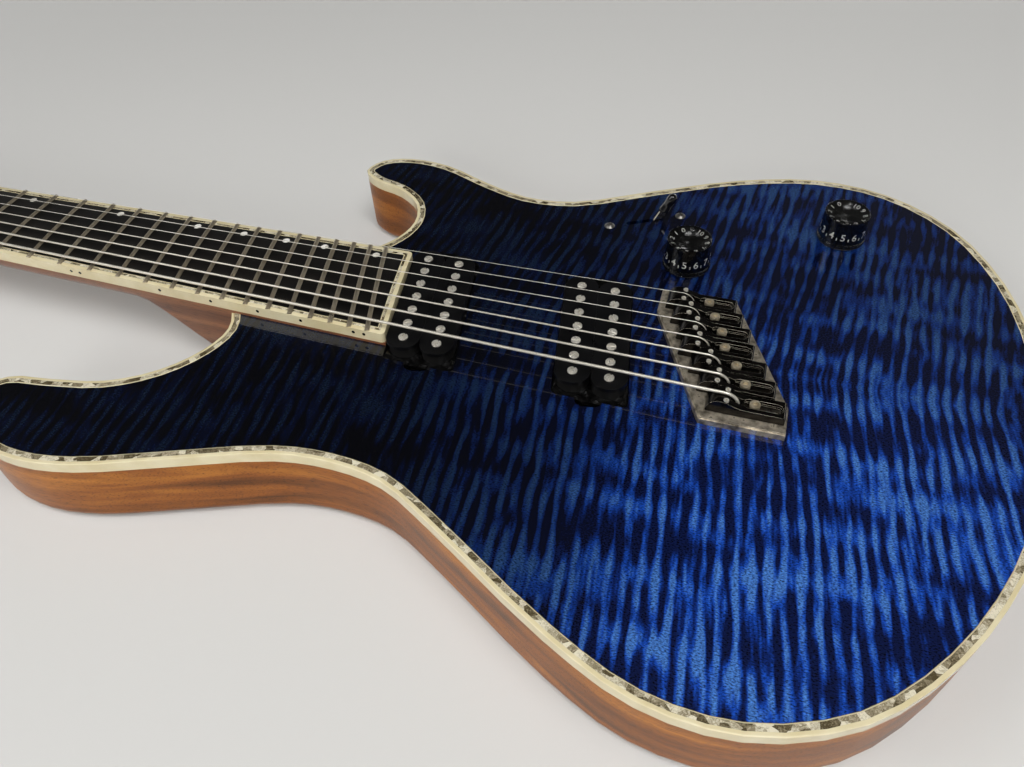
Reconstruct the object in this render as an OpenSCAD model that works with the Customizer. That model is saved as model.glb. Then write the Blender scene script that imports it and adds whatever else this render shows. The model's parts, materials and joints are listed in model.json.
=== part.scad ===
// Seven-string electric guitar with fanned frets, lying on its flat back.
// +X runs from the headstock to the butt, +Y to the treble side, +Z out of the face.
// The origin lies on the back, on the centre line, below the first string's scale end.

/* [Scale and strings] */
// Scale length of the first, thinnest string
scale_treble = 648; // [640:1:655]
// Scale length of the last, thickest string
scale_bass = 686; // [678:1:692]
// Fret that stands square to the centre line
neutral_fret = 7; // [6:1:8]
// Number of frets
fret_count = 24; // [22:1:24]
// Distance between the outer strings at the nut
nut_spread = 40.3; // [39:0.1:42]
// Distance between neighbouring strings at the bridge
bridge_pitch = 10.75; // [10.6:0.05:10.9]
// Height of the middle string's crest above the top
string_rise = 13.3; // [12.5:0.1:14]

/* [Body] */
// Body thickness from the back to the face
body_t = 44; // [42:1:46]
// Thickness of the figured maple top
cap_t = 6; // [5:0.5:7]
// Width of the cream binding seen from above
binding_w = 1.8; // [1.4:0.1:2.2]
// Width of the pearl strip inside the binding
purfling_w = 2.6; // [2:0.1:3]
// Width of the thin cream line inside the pearl strip
line_w = 0.6; // [0.4:0.1:0.8]
// Depth of the channel for the pearl strip
purfling_h = 1.8; // [1.4:0.1:2.2]
// Radius on the back edge of the wings
back_round = 6; // [4:0.5:8]

/* [Neck and fingerboard] */
// Distance from an outer string to the edge of the board at the nut
edge_nut = 3.2; // [3:0.1:3.6]
// Widening of the board on each side, per millimetre of length
board_taper = 0.0199; // [0.019:0.0001:0.0205]
// Height of the board's underside above the body's face
board_lift = 1.5; // [1:0.1:2]
// Board thickness on the centre line
board_t = 7.4; // [7:0.1:8]
// Radius of the playing surface
board_r = 400; // [350:10:500]
// Fret crown width
fret_w = 2.6; // [2.2:0.1:2.9]
// Fret crown height
fret_h = 1.15; // [1:0.05:1.3]
// Depth of the neck wood under the board at the first fret
neck_depth = 14; // [13:0.5:15]
// Width of each dark stripe in the neck
stripe_w = 3; // [2:0.5:4]

/* [Headstock] */
// Backward tilt of the headstock
head_angle = 7; // [6:0.5:7]
// Thickness of the headstock wood
head_t = 12; // [11:0.5:12]
// Thickness of the face veneer
veneer_t = 2; // [1.5:0.5:2]
// Distance between tuners along the headstock
tuner_step = 38; // [37:0.5:39]

/* [Pickups] */
// Angle of both pickups, treble end towards the neck
pickup_turn = 9.7; // [9:0.1:10]
// Place of the neck pickup's middle
neck_pickup_x = -122.3; // [-122.4:0.1:-121]
// Place of the bridge pickup's middle
bridge_pickup_x = -34.3; // [-37:0.1:-33]
// Distance between pole screws along a row
pole_pitch = 10.55; // [10.4:0.05:10.6]
// Height of the bobbins above the face
bobbin_rise = 6.2; // [5.5:0.1:6.4]

/* [Bridge] */
// Thickness of the bridge plate
plate_t = 4; // [3.5:0.5:4]
// Saddle width
saddle_w = 10.2; // [10:0.1:10.3]
// Saddle length behind the crest
saddle_back = 28.5; // [27.5:0.5:29]
// Travel of a saddle towards the neck
saddle_travel = 7; // [5:0.5:7]

/* [Controls] */
// Place of the volume knob along the body
volume_x = 1; // [0:0.5:2]
// Place of the volume knob across the body
volume_y = 71.5; // [71:0.5:73]
// Place of the tone knob along the body
tone_x = 81.5; // [80:0.5:84]
// Place of the tone knob across the body
tone_y = 118; // [115:0.5:119]
// Middle of the selector's slot along the body
selector_x = -28.5; // [-30:0.5:-27]
// Middle of the selector's slot across the body
selector_y = 105.8; // [105:0.1:107]
// Direction of the selector's slot
selector_turn = 27.6; // [27:0.1:28]
// Lean of the selector lever at rest
selector_lean = 30; // [28:1:31]

/* [Hidden] */
$fn = 48;

// String facts, first to seventh
last = 6;
gauge = [0.3, 0.38, 0.46, 0.7, 0.95, 1.2, 1.5];
saddle_shift = [3.5, 3.5, 4, 2.5, 5, 6.2, 7.5];

// Places of the controls on the face
volume_at = [volume_x, volume_y];
tone_at = [tone_x, tone_y];
selector_at = [selector_x, selector_y];

// Small gaps: wood joints, turning shafts and sliding pieces
joint_gap = 0.02;
run_gap = 0.05;
slide_gap = 0.15;

// Levels above the back
face_z = body_t;
cap_z = body_t - cap_t;
board_z = face_z + board_lift;
board_top = board_z + board_t;
plate_top = face_z + plate_t;
bobbin_top = face_z + bobbin_rise;

// Fan of the strings and frets. s is 0 at the first string and 1 at the last
function scale_of(s) = scale_treble + (scale_bass - scale_treble) * s;
function bridge_x(s) = (scale_of(s) - scale_treble) * pow(2, -neutral_fret / 12);
function nut_y(s) = nut_spread / 2 * (1 - 2 * s);
function bridge_y(s) = bridge_pitch * last / 2 * (1 - 2 * s);
function radius_drop(y) = y * y / (2 * board_r);
// Plan place on string s, where f is 1 at the nut and 0 at the scale end
function fan(s, f) = [bridge_x(s) - scale_of(s) * f, bridge_y(s) + (nut_y(s) - bridge_y(s)) * f];
nut_x = -(scale_treble + scale_bass) / 2 + bridge_x(0.5);
function board_half(x) = nut_spread / 2 + edge_nut + board_taper * (x - nut_x);
// Plan point where the fan line at f reaches a line offset from the board's edge, side +1 treble
function fan_edge(f, side, inset = 0) =
    let (
        a = fan(0, f),
        b = fan(1, f),
        k = (b.x - a.x) / (a.y - b.y),
        w0 = board_half(0) - inset,
        x = (a.x + (a.y - side * w0) * k) / (1 + side * board_taper * k)
    )
    [x, side * (w0 + board_taper * x)];
function fret_f(n) = pow(2, -n / 12);

// String heights
function string_z_nut(i) =
    board_top + fret_h + 0.3 - radius_drop(nut_y(i / last)) + gauge[i] / 2;
function string_z_bridge(i) = face_z + string_rise - radius_drop(bridge_y(i / last)) + gauge[i] / 2;
function break_x(i) = bridge_x(i / last) + saddle_shift[i];
function string_at(i, f) =
    let (p = fan(i / last, f))
    [p.x, p.y, string_z_bridge(i) + (string_z_nut(i) - string_z_bridge(i)) * f];
function break_point(i) = string_at(i, -saddle_shift[i] / scale_of(i / last));

// Board end, parallel to the pickups
board_end_mid = -141.3;
function board_end_x(y) = board_end_mid - tan(pickup_turn) * y;

// Body outline: hand-placed points from the treble side of the neck, round the butt, to the bass side
outline_points = [
    [-206, 12], [-192, 24], [-178, 37], [-166, 53], [-162, 70], [-168, 88], [-184, 100.5], [-203, 106.5],
    [-214, 115.5], [-208, 129], [-190, 136], [-164, 134], [-132, 121], [-104, 112.5], [-74, 115],
    [-30, 138], [20, 163], [66, 175], [107, 169], [143, 142.5], [166.5, 98], [176.5, 45], [177, 5],
    [170, -45], [157, -86], [132, -129], [100, -161], [60, -177], [22, -176], [-16, -161],
    [-76, -127], [-104, -113], [-130, -109.5], [-158, -112.5], [-205, -129.5], [-245, -144],
    [-272, -148], [-296, -144], [-315, -133], [-322, -119], [-312, -105], [-290, -100.5],
    [-262, -94], [-240, -80], [-226, -61], [-222, -44], [-230, -28], [-244, -18], [-262, -10]
];
outline_steps = 3;

// One point of a centripetal spline between b and c
function knot(a, b) = pow(norm(b - a), 0.5);
function blend(a, b, ta, tb, t) = ((tb - t) * a + (t - ta) * b) / (tb - ta);
function spline_at(a, b, c, d, u) =
    let (
        t1 = knot(a, b), t2 = t1 + knot(b, c), t3 = t2 + knot(c, d), t = t1 + (t2 - t1) * u,
        p = blend(a, b, 0, t1, t), q = blend(b, c, t1, t2, t), r = blend(c, d, t2, t3, t)
    )
    blend(blend(p, q, 0, t2, t), blend(q, r, t1, t3, t), t1, t2, t);
function spline(pts, steps) = [
    for (i = [1 : len(pts) - 3]) for (k = [0 : steps - 1])
        spline_at(pts[i - 1], pts[i], pts[i + 1], pts[i + 2], k / steps)
];
function closed_spline(pts, steps) = spline(
    concat([pts[len(pts) - 1]], pts, [pts[0], pts[1]]), steps);
// Moves every point of a curve to its left by d
function shifted(pts, d, closed = false) = [
    for (i = [0 : len(pts) - 1])
        let (
            n = len(pts),
            a = pts[closed ? (i + n - 1) % n : max(i - 1, 0)],
            b = pts[closed ? (i + 1) % n : min(i + 1, n - 1)],
            t = (b - a) / norm(b - a)
        )
        pts[i] + d * [-t.y, t.x]
];
function reversed(pts) = [for (i = [len(pts) - 1 : -1 : 0]) pts[i]];
outline = spline(outline_points, outline_steps);
// Body outline drawn in by d, the body lying to the right of the curve's direction
function body_outline(d) = shifted(outline, -d);

// Rounded rectangle about the origin
function rounded(l, w, r, n = 6) = [
    for (c = [[1, 1, 0], [-1, 1, 90], [-1, -1, 180], [1, -1, 270]]) for (k = [0 : n])
        [c.x * (l / 2 - r) + r * cos(c.z + 90 * k / n), c.y * (w / 2 - r) + r * sin(c.z + 90 * k / n)]
];

// Places a child at p with its z along d
module aim(p, d) {
    translate(p) rotate([0, acos(d.z / norm(d)), atan2(d.y, d.x)]) children();
}
// Round bar between two points
module rod(p, q, r) {
    aim(p, q - p) cylinder(r = r, h = norm(q - p));
}
module slab(points, z0, z1) {
    translate([0, 0, z0]) linear_extrude(z1 - z0) polygon(points);
}
// Cross recess in a screw's head, from z0 up
module cross_recess(head_r, z0) {
    for (a = [0, 90]) rotate(a)
        translate([-head_r * 0.55, -head_r * 0.13, z0]) cube([head_r * 1.1, head_r * 0.26, head_r]);
}
// Wood screw with a domed head, pointing down from the origin
module wood_screw(head_r, head_h, shaft_r, depth) {
    difference() {
        rotate_extrude() polygon([
            [0, head_h], [head_r * 0.55, head_h * 0.85], [head_r, 0.3], [head_r, 0], [shaft_r, 0],
            [shaft_r, -depth + 2 * shaft_r], [0, -depth]
        ]);
        cross_recess(head_r, head_h * 0.3);
    }
}

// Headstock placing: local -X runs to the tip, local z is 0 on the wood under the veneer
head_x = -670;
module on_headstock() {
    translate([head_x, 0, board_z]) rotate([0, -head_angle, 0]) children();
}
function from_head(p) = [
    head_x + p.x * cos(head_angle) - p.z * sin(head_angle),
    p.y,
    board_z + p.x * sin(head_angle) + p.z * cos(head_angle)
];
// Tuners, first to seventh string: three on the treble side, four on the bass side
treble_count = 3;
function tuner_side(i) = i < treble_count ? 1 : -1;
function tuner_row(i) = i < treble_count ? i : last - i;
first_treble = 48;
first_bass = 34;
tuner_y = 26;
tuner_y_step = 4;
function tuner_at(i) = [
    -(tuner_side(i) > 0 ? first_treble : first_bass) - tuner_step * tuner_row(i),
    tuner_side(i) * (tuner_y - tuner_y_step * tuner_row(i))
];

// Pickup placing: local y runs along the rows of poles, and the ends are cut along the strings
module at_pickups() {
    for (x = [neck_pickup_x, bridge_pickup_x]) translate([x, 0, 0]) rotate(pickup_turn) children();
}
pickup_skew = tan(pickup_turn);
function skewed(points) = [for (p = points) [p.x, p.y - pickup_skew * p.x]];
bobbin_l = 78.4;
bobbin_w = 17.7;
row_x = 8.9;
bobbin_gap = 2 * row_x - bobbin_w;
module at_rows() {
    for (s = [-1, 1]) translate([s * row_x, -s * pickup_skew * row_x, 0]) children();
}
route_w = 37.2;
route_l = 86;
route_corner = 2.5;
route_floor = 29;
route_gap = 0.5;
ear_w = 14;
ear_end = 47;
ear_corner = 5;
screw_y = 43;
// Plan of the route, a skewed rectangle with a short ear at each end, drawn in by the gap given
module pickup_plan(gap) {
    polygon(skewed(rounded(route_w - 2 * gap, route_l - 2 * gap, route_corner)));
    for (s = [-1, 1]) translate([0, s * (ear_end - ear_w / 2)])
        polygon(rounded(ear_w - 2 * gap, ear_w - 2 * gap, ear_corner));
}
module pickup_routes() {
    translate([0, 0, route_floor]) linear_extrude(face_z) at_pickups() pickup_plan(0);
}

// Control cavity, opened from the back
cavity_points = [
    [-58, 92], [-30, 76], [0, 52], [40, 66], [96, 94], [112, 118], [92, 142], [40, 134], [-22, 126]
];
function cavity_outline(grow) = shifted(closed_spline(cavity_points, 5), -grow, true);
cover_t = 2;
cover_lip = 6;

// Output jack on the edge of the treble lower bout
jack_at = [143, 142.5, 20];
jack_turn = 40;
jack_bore_r = 3.2;
jack_len = 32;
jack_end = 4;
barrel_r = 7;
flange_r = 11;
flange_in = 2;
module at_jack() {
    translate(jack_at) rotate([0, 0, jack_turn]) rotate([0, 90, 0]) children();
}

// String drop behind the saddle crest
drop_r = 7;
string_hole_r = 1.7;
drop_lead = 0.5;
function drop_at(i) = break_point(i) + [drop_lead + drop_r, 0, -drop_r];
function string_y(i) = break_point(i).y;
module string_holes(z0, z1, r) {
    for (i = [0 : last]) translate([drop_at(i).x, drop_at(i).y, z0]) cylinder(r = r, h = z1 - z0);
}
ferrule_r = 3.4;
ferrule_h = 9;

// Neck under the board: a slice of it between y0 and y1, as long as the neck, swelling into the heel
heel_start = -292;
heel_end = -228;
block_x = -150;
butt_x = 190;
side_wall = 1.2;
function ramp(x) =
    let (u = max(0, min(1, (x - heel_start) / (heel_end - heel_start)))) u * u * (3 - 2 * u);
function depth_at(x) =
    let (d = neck_depth + 0.006 * (x - nut_x)) d + (board_z - d) * ramp(x);
function fullness_at(x) = 2.2 + 12 * ramp(x);
function neck_bottom(x, y) =
    let (u = min(1, abs(y) / board_half(x)), n = fullness_at(x))
    board_z - side_wall - (depth_at(x) - side_wall) * pow(max(0, 1 - pow(u, n)), 1 / n);
neck_stations = concat(
    [head_x, -650, -560, -440, -340],
    [for (k = [0 : 8]) heel_start + (heel_end - heel_start) * k / 8],
    [block_x]
);
slice_cuts = 8;
// Sine spacing puts more cuts near the outer edge of an outer slice
function slice_y(x, y0, y1, k) =
    let (
        h = board_half(x),
        a = max(-h, min(h, y0)),
        b = max(-h, min(h, y1)),
        u = k / slice_cuts
    )
    y1 > h ? a + (b - a) * sin(90 * u) : y0 < -h ? b + (a - b) * sin(90 - 90 * u) : a + (b - a) * u;
function slice_ring(x, y0, y1) =
    let (lean = x == head_x ? tan(head_angle) : 0)
    concat(
        [for (k = [slice_cuts : -1 : 0])
            let (y = slice_y(x, y0, y1, k), z = neck_bottom(x, y))
            [x + (board_z - z) * lean, y, z]],
        [[x, slice_y(x, y0, y1, 0), board_z], [x, slice_y(x, y0, y1, slice_cuts), board_z]]
    );
module neck_slice(y0, y1) {
    rings = [for (x = neck_stations) slice_ring(x, y0, y1)];
    m = len(rings[0]);
    n = len(rings);
    sides = [
        for (j = [0 : n - 2]) for (k = [0 : m - 1])
            let (a = j * m + k, b = j * m + (k + 1) % m)
            each [[a, b, b + m], [a, b + m, a + m]]
    ];
    far = (n - 1) * m;
    near_cap = [for (k = [0 : m - 3]) [m - 1, k + 1, k]];
    far_cap = [for (k = [0 : m - 3]) [far + m - 1, far + k, far + k + 1]];
    polyhedron(points = [for (r = rings) each r], faces = concat(near_cap, sides, far_cap));
}
// Plan of a slice inside the body, from x0 to x1
function slice_plan(y0, y1, x0, x1) = [
    [x0, max(y0, -board_half(x0))], [x1, max(y0, -board_half(x1))],
    [x1, min(y1, board_half(x1))], [x0, min(y1, board_half(x0))]
];
function tongue_plan(y0, y1) =
    let (
        a = max(y0, -board_half(block_x)),
        b = min(y1, board_half(block_x))
    )
    [[block_x, a], [board_end_x(a), a], [board_end_x(b), b], [block_x, b]];
module neck_lamination(y0, y1) {
    neck_slice(y0, y1);
    linear_extrude(cap_z) intersection() {
        polygon(slice_plan(y0, y1, block_x, butt_x));
        polygon(outline);
    }
    slab(tongue_plan(y0, y1), cap_z, board_z);
}
stripe_y = 8;
wide = 60;
rod_slot_w = 6.4;
rod_slot_h = 9.4;
rod_end_x = -178;
// Cutter for the quarter round on the neck's back edge, where the neck reaches the butt
round_steps = 4;
butt_ids = [for (k = [0 : len(outline) - 1]) if (outline[k].x > 100 && abs(outline[k].y) < 62) k];
module butt_cutter() {
    insets = concat(
        [[-2, -2], [back_round, -2]],
        [for (j = [0 : round_steps])
            let (a = 90 * j / round_steps)
            [back_round * (1 - sin(a)), back_round * (1 - cos(a))]],
        [[-2, back_round]]
    );
    curves = [for (p = insets) body_outline(p.x)];
    rings = [for (k = butt_ids) [for (j = [0 : len(insets) - 1]) concat(curves[j][k], [insets[j].y])]];
    m = len(insets);
    far = (len(rings) - 1) * m;
    sides = [
        for (j = [0 : len(rings) - 2]) for (k = [0 : m - 1])
            let (a = j * m + k, b = j * m + (k + 1) % m)
            each [[a, b, b + m], [a, b + m, a + m]]
    ];
    near_cap = [for (k = [1 : m - 2]) [0, k + 1, k]];
    far_cap = [for (k = [1 : m - 2]) [far, far + k, far + k + 1]];
    polyhedron(points = [for (r = rings) each r], faces = concat(near_cap, sides, far_cap));
}
module body_cuts() {
    pickup_routes();
    butt_cutter();
    string_holes(-1, face_z + 1, string_hole_r);
    string_holes(-1, ferrule_h, ferrule_r + joint_gap);
}

module neck_core() {
    color("saddlebrown") difference() {
        union() {
            neck_lamination(-stripe_y, stripe_y);
            neck_lamination(stripe_y + stripe_w, wide);
            neck_lamination(-wide, -stripe_y - stripe_w);
        }
        body_cuts();
        translate([head_x - 10, -rod_slot_w / 2, board_z - rod_slot_h])
            cube([rod_end_x - head_x + 10, rod_slot_w, rod_slot_h + 1]);
    }
}

module neck_stripes() {
    color("peru") difference() {
        union() for (s = [0, 1]) mirror([0, s, 0]) neck_lamination(stripe_y, stripe_y + stripe_w);
        body_cuts();
    }
}

// Headstock plan in its own frame, from the neck to the tip and back
head_points = [
    [-22, 33], [-44, 38.5], [-84, 35], [-124, 31], [-150, 26], [-172, 8], [-183, -10], [-176, -20],
    [-150, -24.5], [-112, -28.5], [-72, -33], [-34, -37], [-14, -30]
];
head_base = board_half(head_x);
head_outline = concat(
    [[0, -head_base], [0, head_base]],
    spline(concat([[0, 23], [-3, head_base + 1]], head_points, [[-3, -head_base - 1], [0, -23]]), 4)
);
bushing_r = 5;
housing_l = 13;
module tuner_holes(r) {
    for (i = [0 : last])
        translate([tuner_at(i).x, tuner_at(i).y, -head_t - 1]) cylinder(r = r, h = head_t + 9);
}
rod_pocket = [24, 9, 8];

module headstock() {
    color("saddlebrown") on_headstock() difference() {
        slab(head_outline, -head_t, 0);
        tuner_holes(bushing_r + joint_gap);
        translate([-rod_pocket.x, -rod_pocket.y / 2, -rod_pocket.z]) cube(rod_pocket + [5, 0, 1]);
    }
}

module headstock_veneer() {
    color("midnightblue") on_headstock() difference() {
        slab(shifted(head_outline, -0.3, true), 0, veneer_t);
        tuner_holes(bushing_r + joint_gap);
        translate([-rod_pocket.x, -rod_pocket.y / 2, -1]) cube(rod_pocket + [5, 0, 1]);
    }
}

// Wing plan: the body outline drawn in by d, cut off straight along the neck block
function past_neck(p, side) = side * p.y - board_half(p.x) - joint_gap;
function neck_crossing(p, q, side) =
    p + (q - p) * past_neck(p, side) / (past_neck(p, side) - past_neck(q, side));
function wing_edge(side, d) =
    let (
        inside = [for (k = [0 : len(outline) - 1]) if (past_neck(outline[k], side) > 0) k],
        a = inside[0],
        b = inside[len(inside) - 1],
        c = body_outline(d)
    )
    concat(
        [neck_crossing(c[a - 1], c[a], side)],
        [for (k = inside) c[k]],
        [neck_crossing(c[b], c[b + 1], side)]
    );
// Triangles of a clockwise flat outline, found by clipping its ears one at a time
function turn(a, b, c) = (b.x - a.x) * (c.y - a.y) - (b.y - a.y) * (c.x - a.x);
function is_ear(pts, ids, k) =
    let (n = len(ids), a = pts[ids[(k + n - 1) % n]], b = pts[ids[k]], c = pts[ids[(k + 1) % n]])
    turn(a, b, c) < 0 && len([
        for (i = ids) if (turn(a, b, pts[i]) < 0 && turn(b, c, pts[i]) < 0 && turn(c, a, pts[i]) < 0) i
    ]) == 0;
function ears(pts, ids) =
    let (n = len(ids))
    n == 3 ? [ids] :
    let (k = [for (j = [0 : n - 1]) if (is_ear(pts, ids, j)) j][0])
    concat(
        [[ids[(k + n - 1) % n], ids[k], ids[(k + 1) % n]]],
        ears(pts, [for (j = [0 : n - 1]) if (j != k) ids[j]])
    );
// Wing solid: its back edge follows a quarter round
module wing(side) {
    rings = concat(
        [for (j = [0 : round_steps])
            let (a = 90 * j / round_steps, z = back_round * (1 - cos(a)))
            [for (p = wing_edge(side, back_round * (1 - sin(a)))) [p.x, p.y, z]]],
        [[for (p = wing_edge(side, 0)) [p.x, p.y, cap_z]]]
    );
    m = len(rings[0]);
    n = len(rings);
    ids = [for (k = [0 : m - 1]) k];
    sides = [
        for (j = [0 : n - 2]) for (k = [0 : m - 1])
            let (a = j * m + k, b = j * m + (k + 1) % m)
            each [[a, b + m, b], [a, a + m, b + m]]
    ];
    back_cap = ears(rings[0], ids);
    front_cap = [for (t = ears(rings[n - 1], ids)) [for (k = [2, 1, 0]) (n - 1) * m + t[k]]];
    polyhedron(points = [for (r = rings) each r], faces = concat(back_cap, sides, front_cap));
}
// Leads run from the neck pickup past the bridge pickup into the control cavity
lead_r = 2.4;
lead_y = 38.6;
lead_z = 33.2;
lead_path = [[neck_pickup_x + 3, lead_y, lead_z], [bridge_pickup_x, lead_y, lead_z], [-9, 68, lead_z]];
jack_past = 8;

module body_wings() {
    color("sienna") difference() {
        for (side = [1, -1]) wing(side);
        pickup_routes();
        slab(cavity_outline(0), -1, cap_z + 1);
        slab(cavity_outline(cover_lip), -1, cover_t + 0.1);
        at_jack() translate([0, 0, -jack_len - jack_past]) cylinder(r = barrel_r + 0.2, h = jack_len + 12);
        at_jack() translate([0, 0, -flange_in - 0.2]) cylinder(r = flange_r + 0.2, h = 12);
        rod(lead_path[0], lead_path[1], lead_r);
        rod(lead_path[1], lead_path[2], lead_r);
    }
}

inner_edge = binding_w + purfling_w + line_w;
slot_l = 23;
slot_w = 2.6;
selector_screw = 21.7;
module at_selector() {
    translate([selector_at.x, selector_at.y, 0]) rotate(selector_turn) children();
}
module maple_top() {
    color("mediumblue") difference() {
        union() {
            slab(body_outline(binding_w + joint_gap), cap_z, face_z - purfling_h - joint_gap);
            slab(body_outline(inner_edge + joint_gap), face_z - purfling_h - 0.1, face_z);
        }
        translate([0, 0, cap_z - 1]) linear_extrude(cap_t + 2) neck_plan(joint_gap);
        pickup_routes();
        string_holes(cap_z - 1, face_z + 1, string_hole_r);
        for (p = [volume_at, tone_at])
            translate([p.x, p.y, cap_z - 1]) cylinder(r = bush_r + 0.1, h = cap_t + 2);
        at_selector() translate([0, 0, cap_z - 1]) linear_extrude(cap_t + 2)
            polygon(rounded(slot_l, slot_w, slot_w / 2));
    }
}
// Plan of the neck where it stands proud of the body, up to the board's end
module neck_plan(gap) {
    w0 = board_half(-400) + gap;
    polygon([
        [-400, -w0], [-400, w0], [block_x, board_half(block_x) + gap],
        [board_end_x(board_half(block_x)) + gap, board_half(block_x) + gap],
        [board_end_x(-board_half(block_x)) + gap, -board_half(block_x) - gap],
        [block_x, -board_half(block_x) - gap]
    ]);
}
// Strip along the body's edge, between two insets
module edge_strip(d0, d1, z0, z1) {
    difference() {
        slab(concat(body_outline(d0), reversed(body_outline(d1))), z0, z1);
        translate([0, 0, z0 - 1]) linear_extrude(z1 - z0 + 2) neck_plan(joint_gap);
    }
}

module body_binding() {
    color("ivory") {
        edge_strip(0, binding_w, cap_z, face_z);
        edge_strip(binding_w + purfling_w + joint_gap, inner_edge, face_z - purfling_h, face_z);
    }
}

module body_purfling() {
    color("lightgray")
        edge_strip(binding_w + joint_gap, binding_w + purfling_w, face_z - purfling_h, face_z);
}

// Board plan between the nut and the end, drawn in from the edge by d and from the end by e
function board_plan(d, e) =
    let (
        half_t = board_half(board_end_mid) - d,
        t = fan_edge(1, 1, d),
        b = fan_edge(1, -1, d)
    )
    [b, t, [board_end_x(half_t) - e, half_t], [board_end_x(-half_t) - e, -half_t]];
// Solid over a plan, up to the cambered playing surface
module cambered(plan, z0, rise) {
    intersection() {
        slab(plan, z0, board_top + 5);
        translate([-900, 0, board_top - board_r]) rotate([0, 90, 0])
            cylinder(r = board_r + rise, h = 900, $fn = 1440);
    }
}
board_bind_w = 2.4;
board_purf_w = 1.4;
board_line_w = 0.5;
module board_ring(d0, d1, z0) {
    difference() {
        cambered(board_plan(d0, d0), z0, 0);
        translate([0, 0, z0 - 1]) linear_extrude(30) polygon(extended(board_plan(d1, d1)));
    }
}
// The rings stay open towards the nut
function extended(p) = [p[0] + [-20, 0.4], p[1] + [-20, -0.4], p[2], p[3]];
board_inner = board_bind_w + board_purf_w + board_line_w;

module fingerboard() {
    color("black") {
        difference() {
            cambered(board_plan(board_inner + joint_gap, board_inner + joint_gap), board_z, 0);
            for (n = dotted) face_dot(n, 0.05);
        }
    }
}

module fingerboard_binding() {
    color("ivory") {
        difference() {
            board_ring(0, board_bind_w, board_z);
            side_dot_set(0.03);
        }
        board_ring(board_bind_w + board_purf_w + joint_gap, board_inner, board_z);
    }
}

module fingerboard_purfling() {
    color("lightgray") board_ring(board_bind_w + joint_gap, board_bind_w + board_purf_w, board_z);
}

fret_seat = 0.03;
// Fret: crown profile swept on an arc that follows the camber along the fret's own line
module fret(n) {
    f = fret_f(n);
    a = fan_edge(f, 1, 0.4);
    b = fan_edge(f, -1, 0.4);
    turn = atan2(b.x - a.x, a.y - b.y);
    r = board_r / pow(cos(turn), 2);
    mid = fan(0.5, f);
    top_arc = asin((a.y - mid.y) / cos(turn) / r);
    low_arc = asin((mid.y - b.y) / cos(turn) / r);
    translate([mid.x, mid.y, board_top - radius_drop(mid.y) + fret_seat - r]) rotate([0, 0, turn])
        rotate([0, -90, 0]) rotate([0, 0, -low_arc]) rotate_extrude(angle = top_arc + low_arc, $fn = 360)
            polygon([
                [r, -fret_w / 2], [r + fret_h * 0.35, -fret_w / 2], [r + fret_h * 0.8, -fret_w * 0.3],
                [r + fret_h, -fret_w * 0.1], [r + fret_h, fret_w * 0.1], [r + fret_h * 0.8, fret_w * 0.3],
                [r + fret_h * 0.35, fret_w / 2], [r, fret_w / 2]
            ]);
}
module frets() {
    color("silver") for (n = [1 : fret_count]) fret(n);
}

// Position dots
dotted = [3, 5, 7, 9, 12, 15, 17, 19, 21, 24];
double_dots = [12, 24];
face_dot_r = 2.1;
face_dot_inset = 8.2;
function mid_f(n) = (fret_f(n) + fret_f(n - 1)) / 2;
module face_dot(n, grow) {
    p = fan_edge(mid_f(n), 1, face_dot_inset);
    translate([p.x, p.y, board_top - radius_drop(p.y) - 1.5 - grow])
        cylinder(r = face_dot_r + grow * 0.4, h = grow > 0 ? 4 : 1.5);
}
module face_dots() {
    color("white") for (n = dotted) face_dot(n, 0);
}
side_dot_r = 0.9;
side_dot_z = board_z + 3.4;
side_dot_pair = 3;
module side_dot(n, shift, grow) {
    p = fan_edge(mid_f(n), -1, 0);
    translate([p.x + shift, p.y - board_taper * shift, side_dot_z]) rotate([-90, 0, 0])
        translate([0, 0, grow > 0 ? -1 : 0.02]) cylinder(r = side_dot_r + grow, h = grow > 0 ? 2.3 : 1.2);
}
module side_dot_set(grow) {
    for (n = dotted)
        for (s = len(search(n, double_dots)) > 0 ? [-side_dot_pair, side_dot_pair] : [0])
            side_dot(n, s, grow);
}
module side_dots() {
    color("black") side_dot_set(0);
}

// Nut: a bar along the slanted end of the board, with a slot under each string
nut_t = 5;
module nut() {
    t = fan_edge(1, 1, 0);
    b = fan_edge(1, -1, 0);
    back = [-nut_t - joint_gap, 0];
    gap = [-joint_gap, 0];
    color("ivory") difference() {
        cambered([b + gap, b + back, t + back, t + gap], board_z, fret_h + 1.1);
        for (i = [0 : last]) {
            p = string_at(i, 1);
            translate([p.x - 20, p.y - gauge[i] / 2 - 0.08, p.z - gauge[i] / 2])
                cube([40, gauge[i] + 0.16, 5]);
        }
    }
}

// Two-way truss rod: round rod over a flat bar, with its adjuster at the headstock
module truss_rod() {
    z = board_z - rod_slot_h / 2;
    color("dimgray") {
        rod([head_x + 6, 0, z + 2.2], [rod_end_x - 3, 0, z + 2.2], 2.3);
        translate([head_x + 6, -3, z - 4.5]) cube([rod_end_x - 3 - head_x - 6, 6, 4]);
        translate([rod_end_x - 9, -3, z - 0.5]) cube([6, 6, 1]);
        difference() {
            rod([head_x - 12, 0, z + 1], [head_x + 5.9, 0, z + 1], 2.6);
            rod([head_x - 13, 0, z + 1], [head_x - 6, 0, z + 1], 1.8, $fn = 6);
        }
    }
}

cover_screws = [[-36, 0], [-8, 9], [-8, -9]];
module truss_rod_cover() {
    plan = closed_spline([[-2, 12], [-2, -12], [-14, -11], [-30, -6], [-42, 0], [-30, 6], [-14, 11]], 5);
    color("black") on_headstock() difference() {
        slab(plan, veneer_t + joint_gap, veneer_t + 1.8);
        for (p = cover_screws) translate([p.x, p.y, 0]) cylinder(r = 1.2, h = 9);
    }
}

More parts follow.
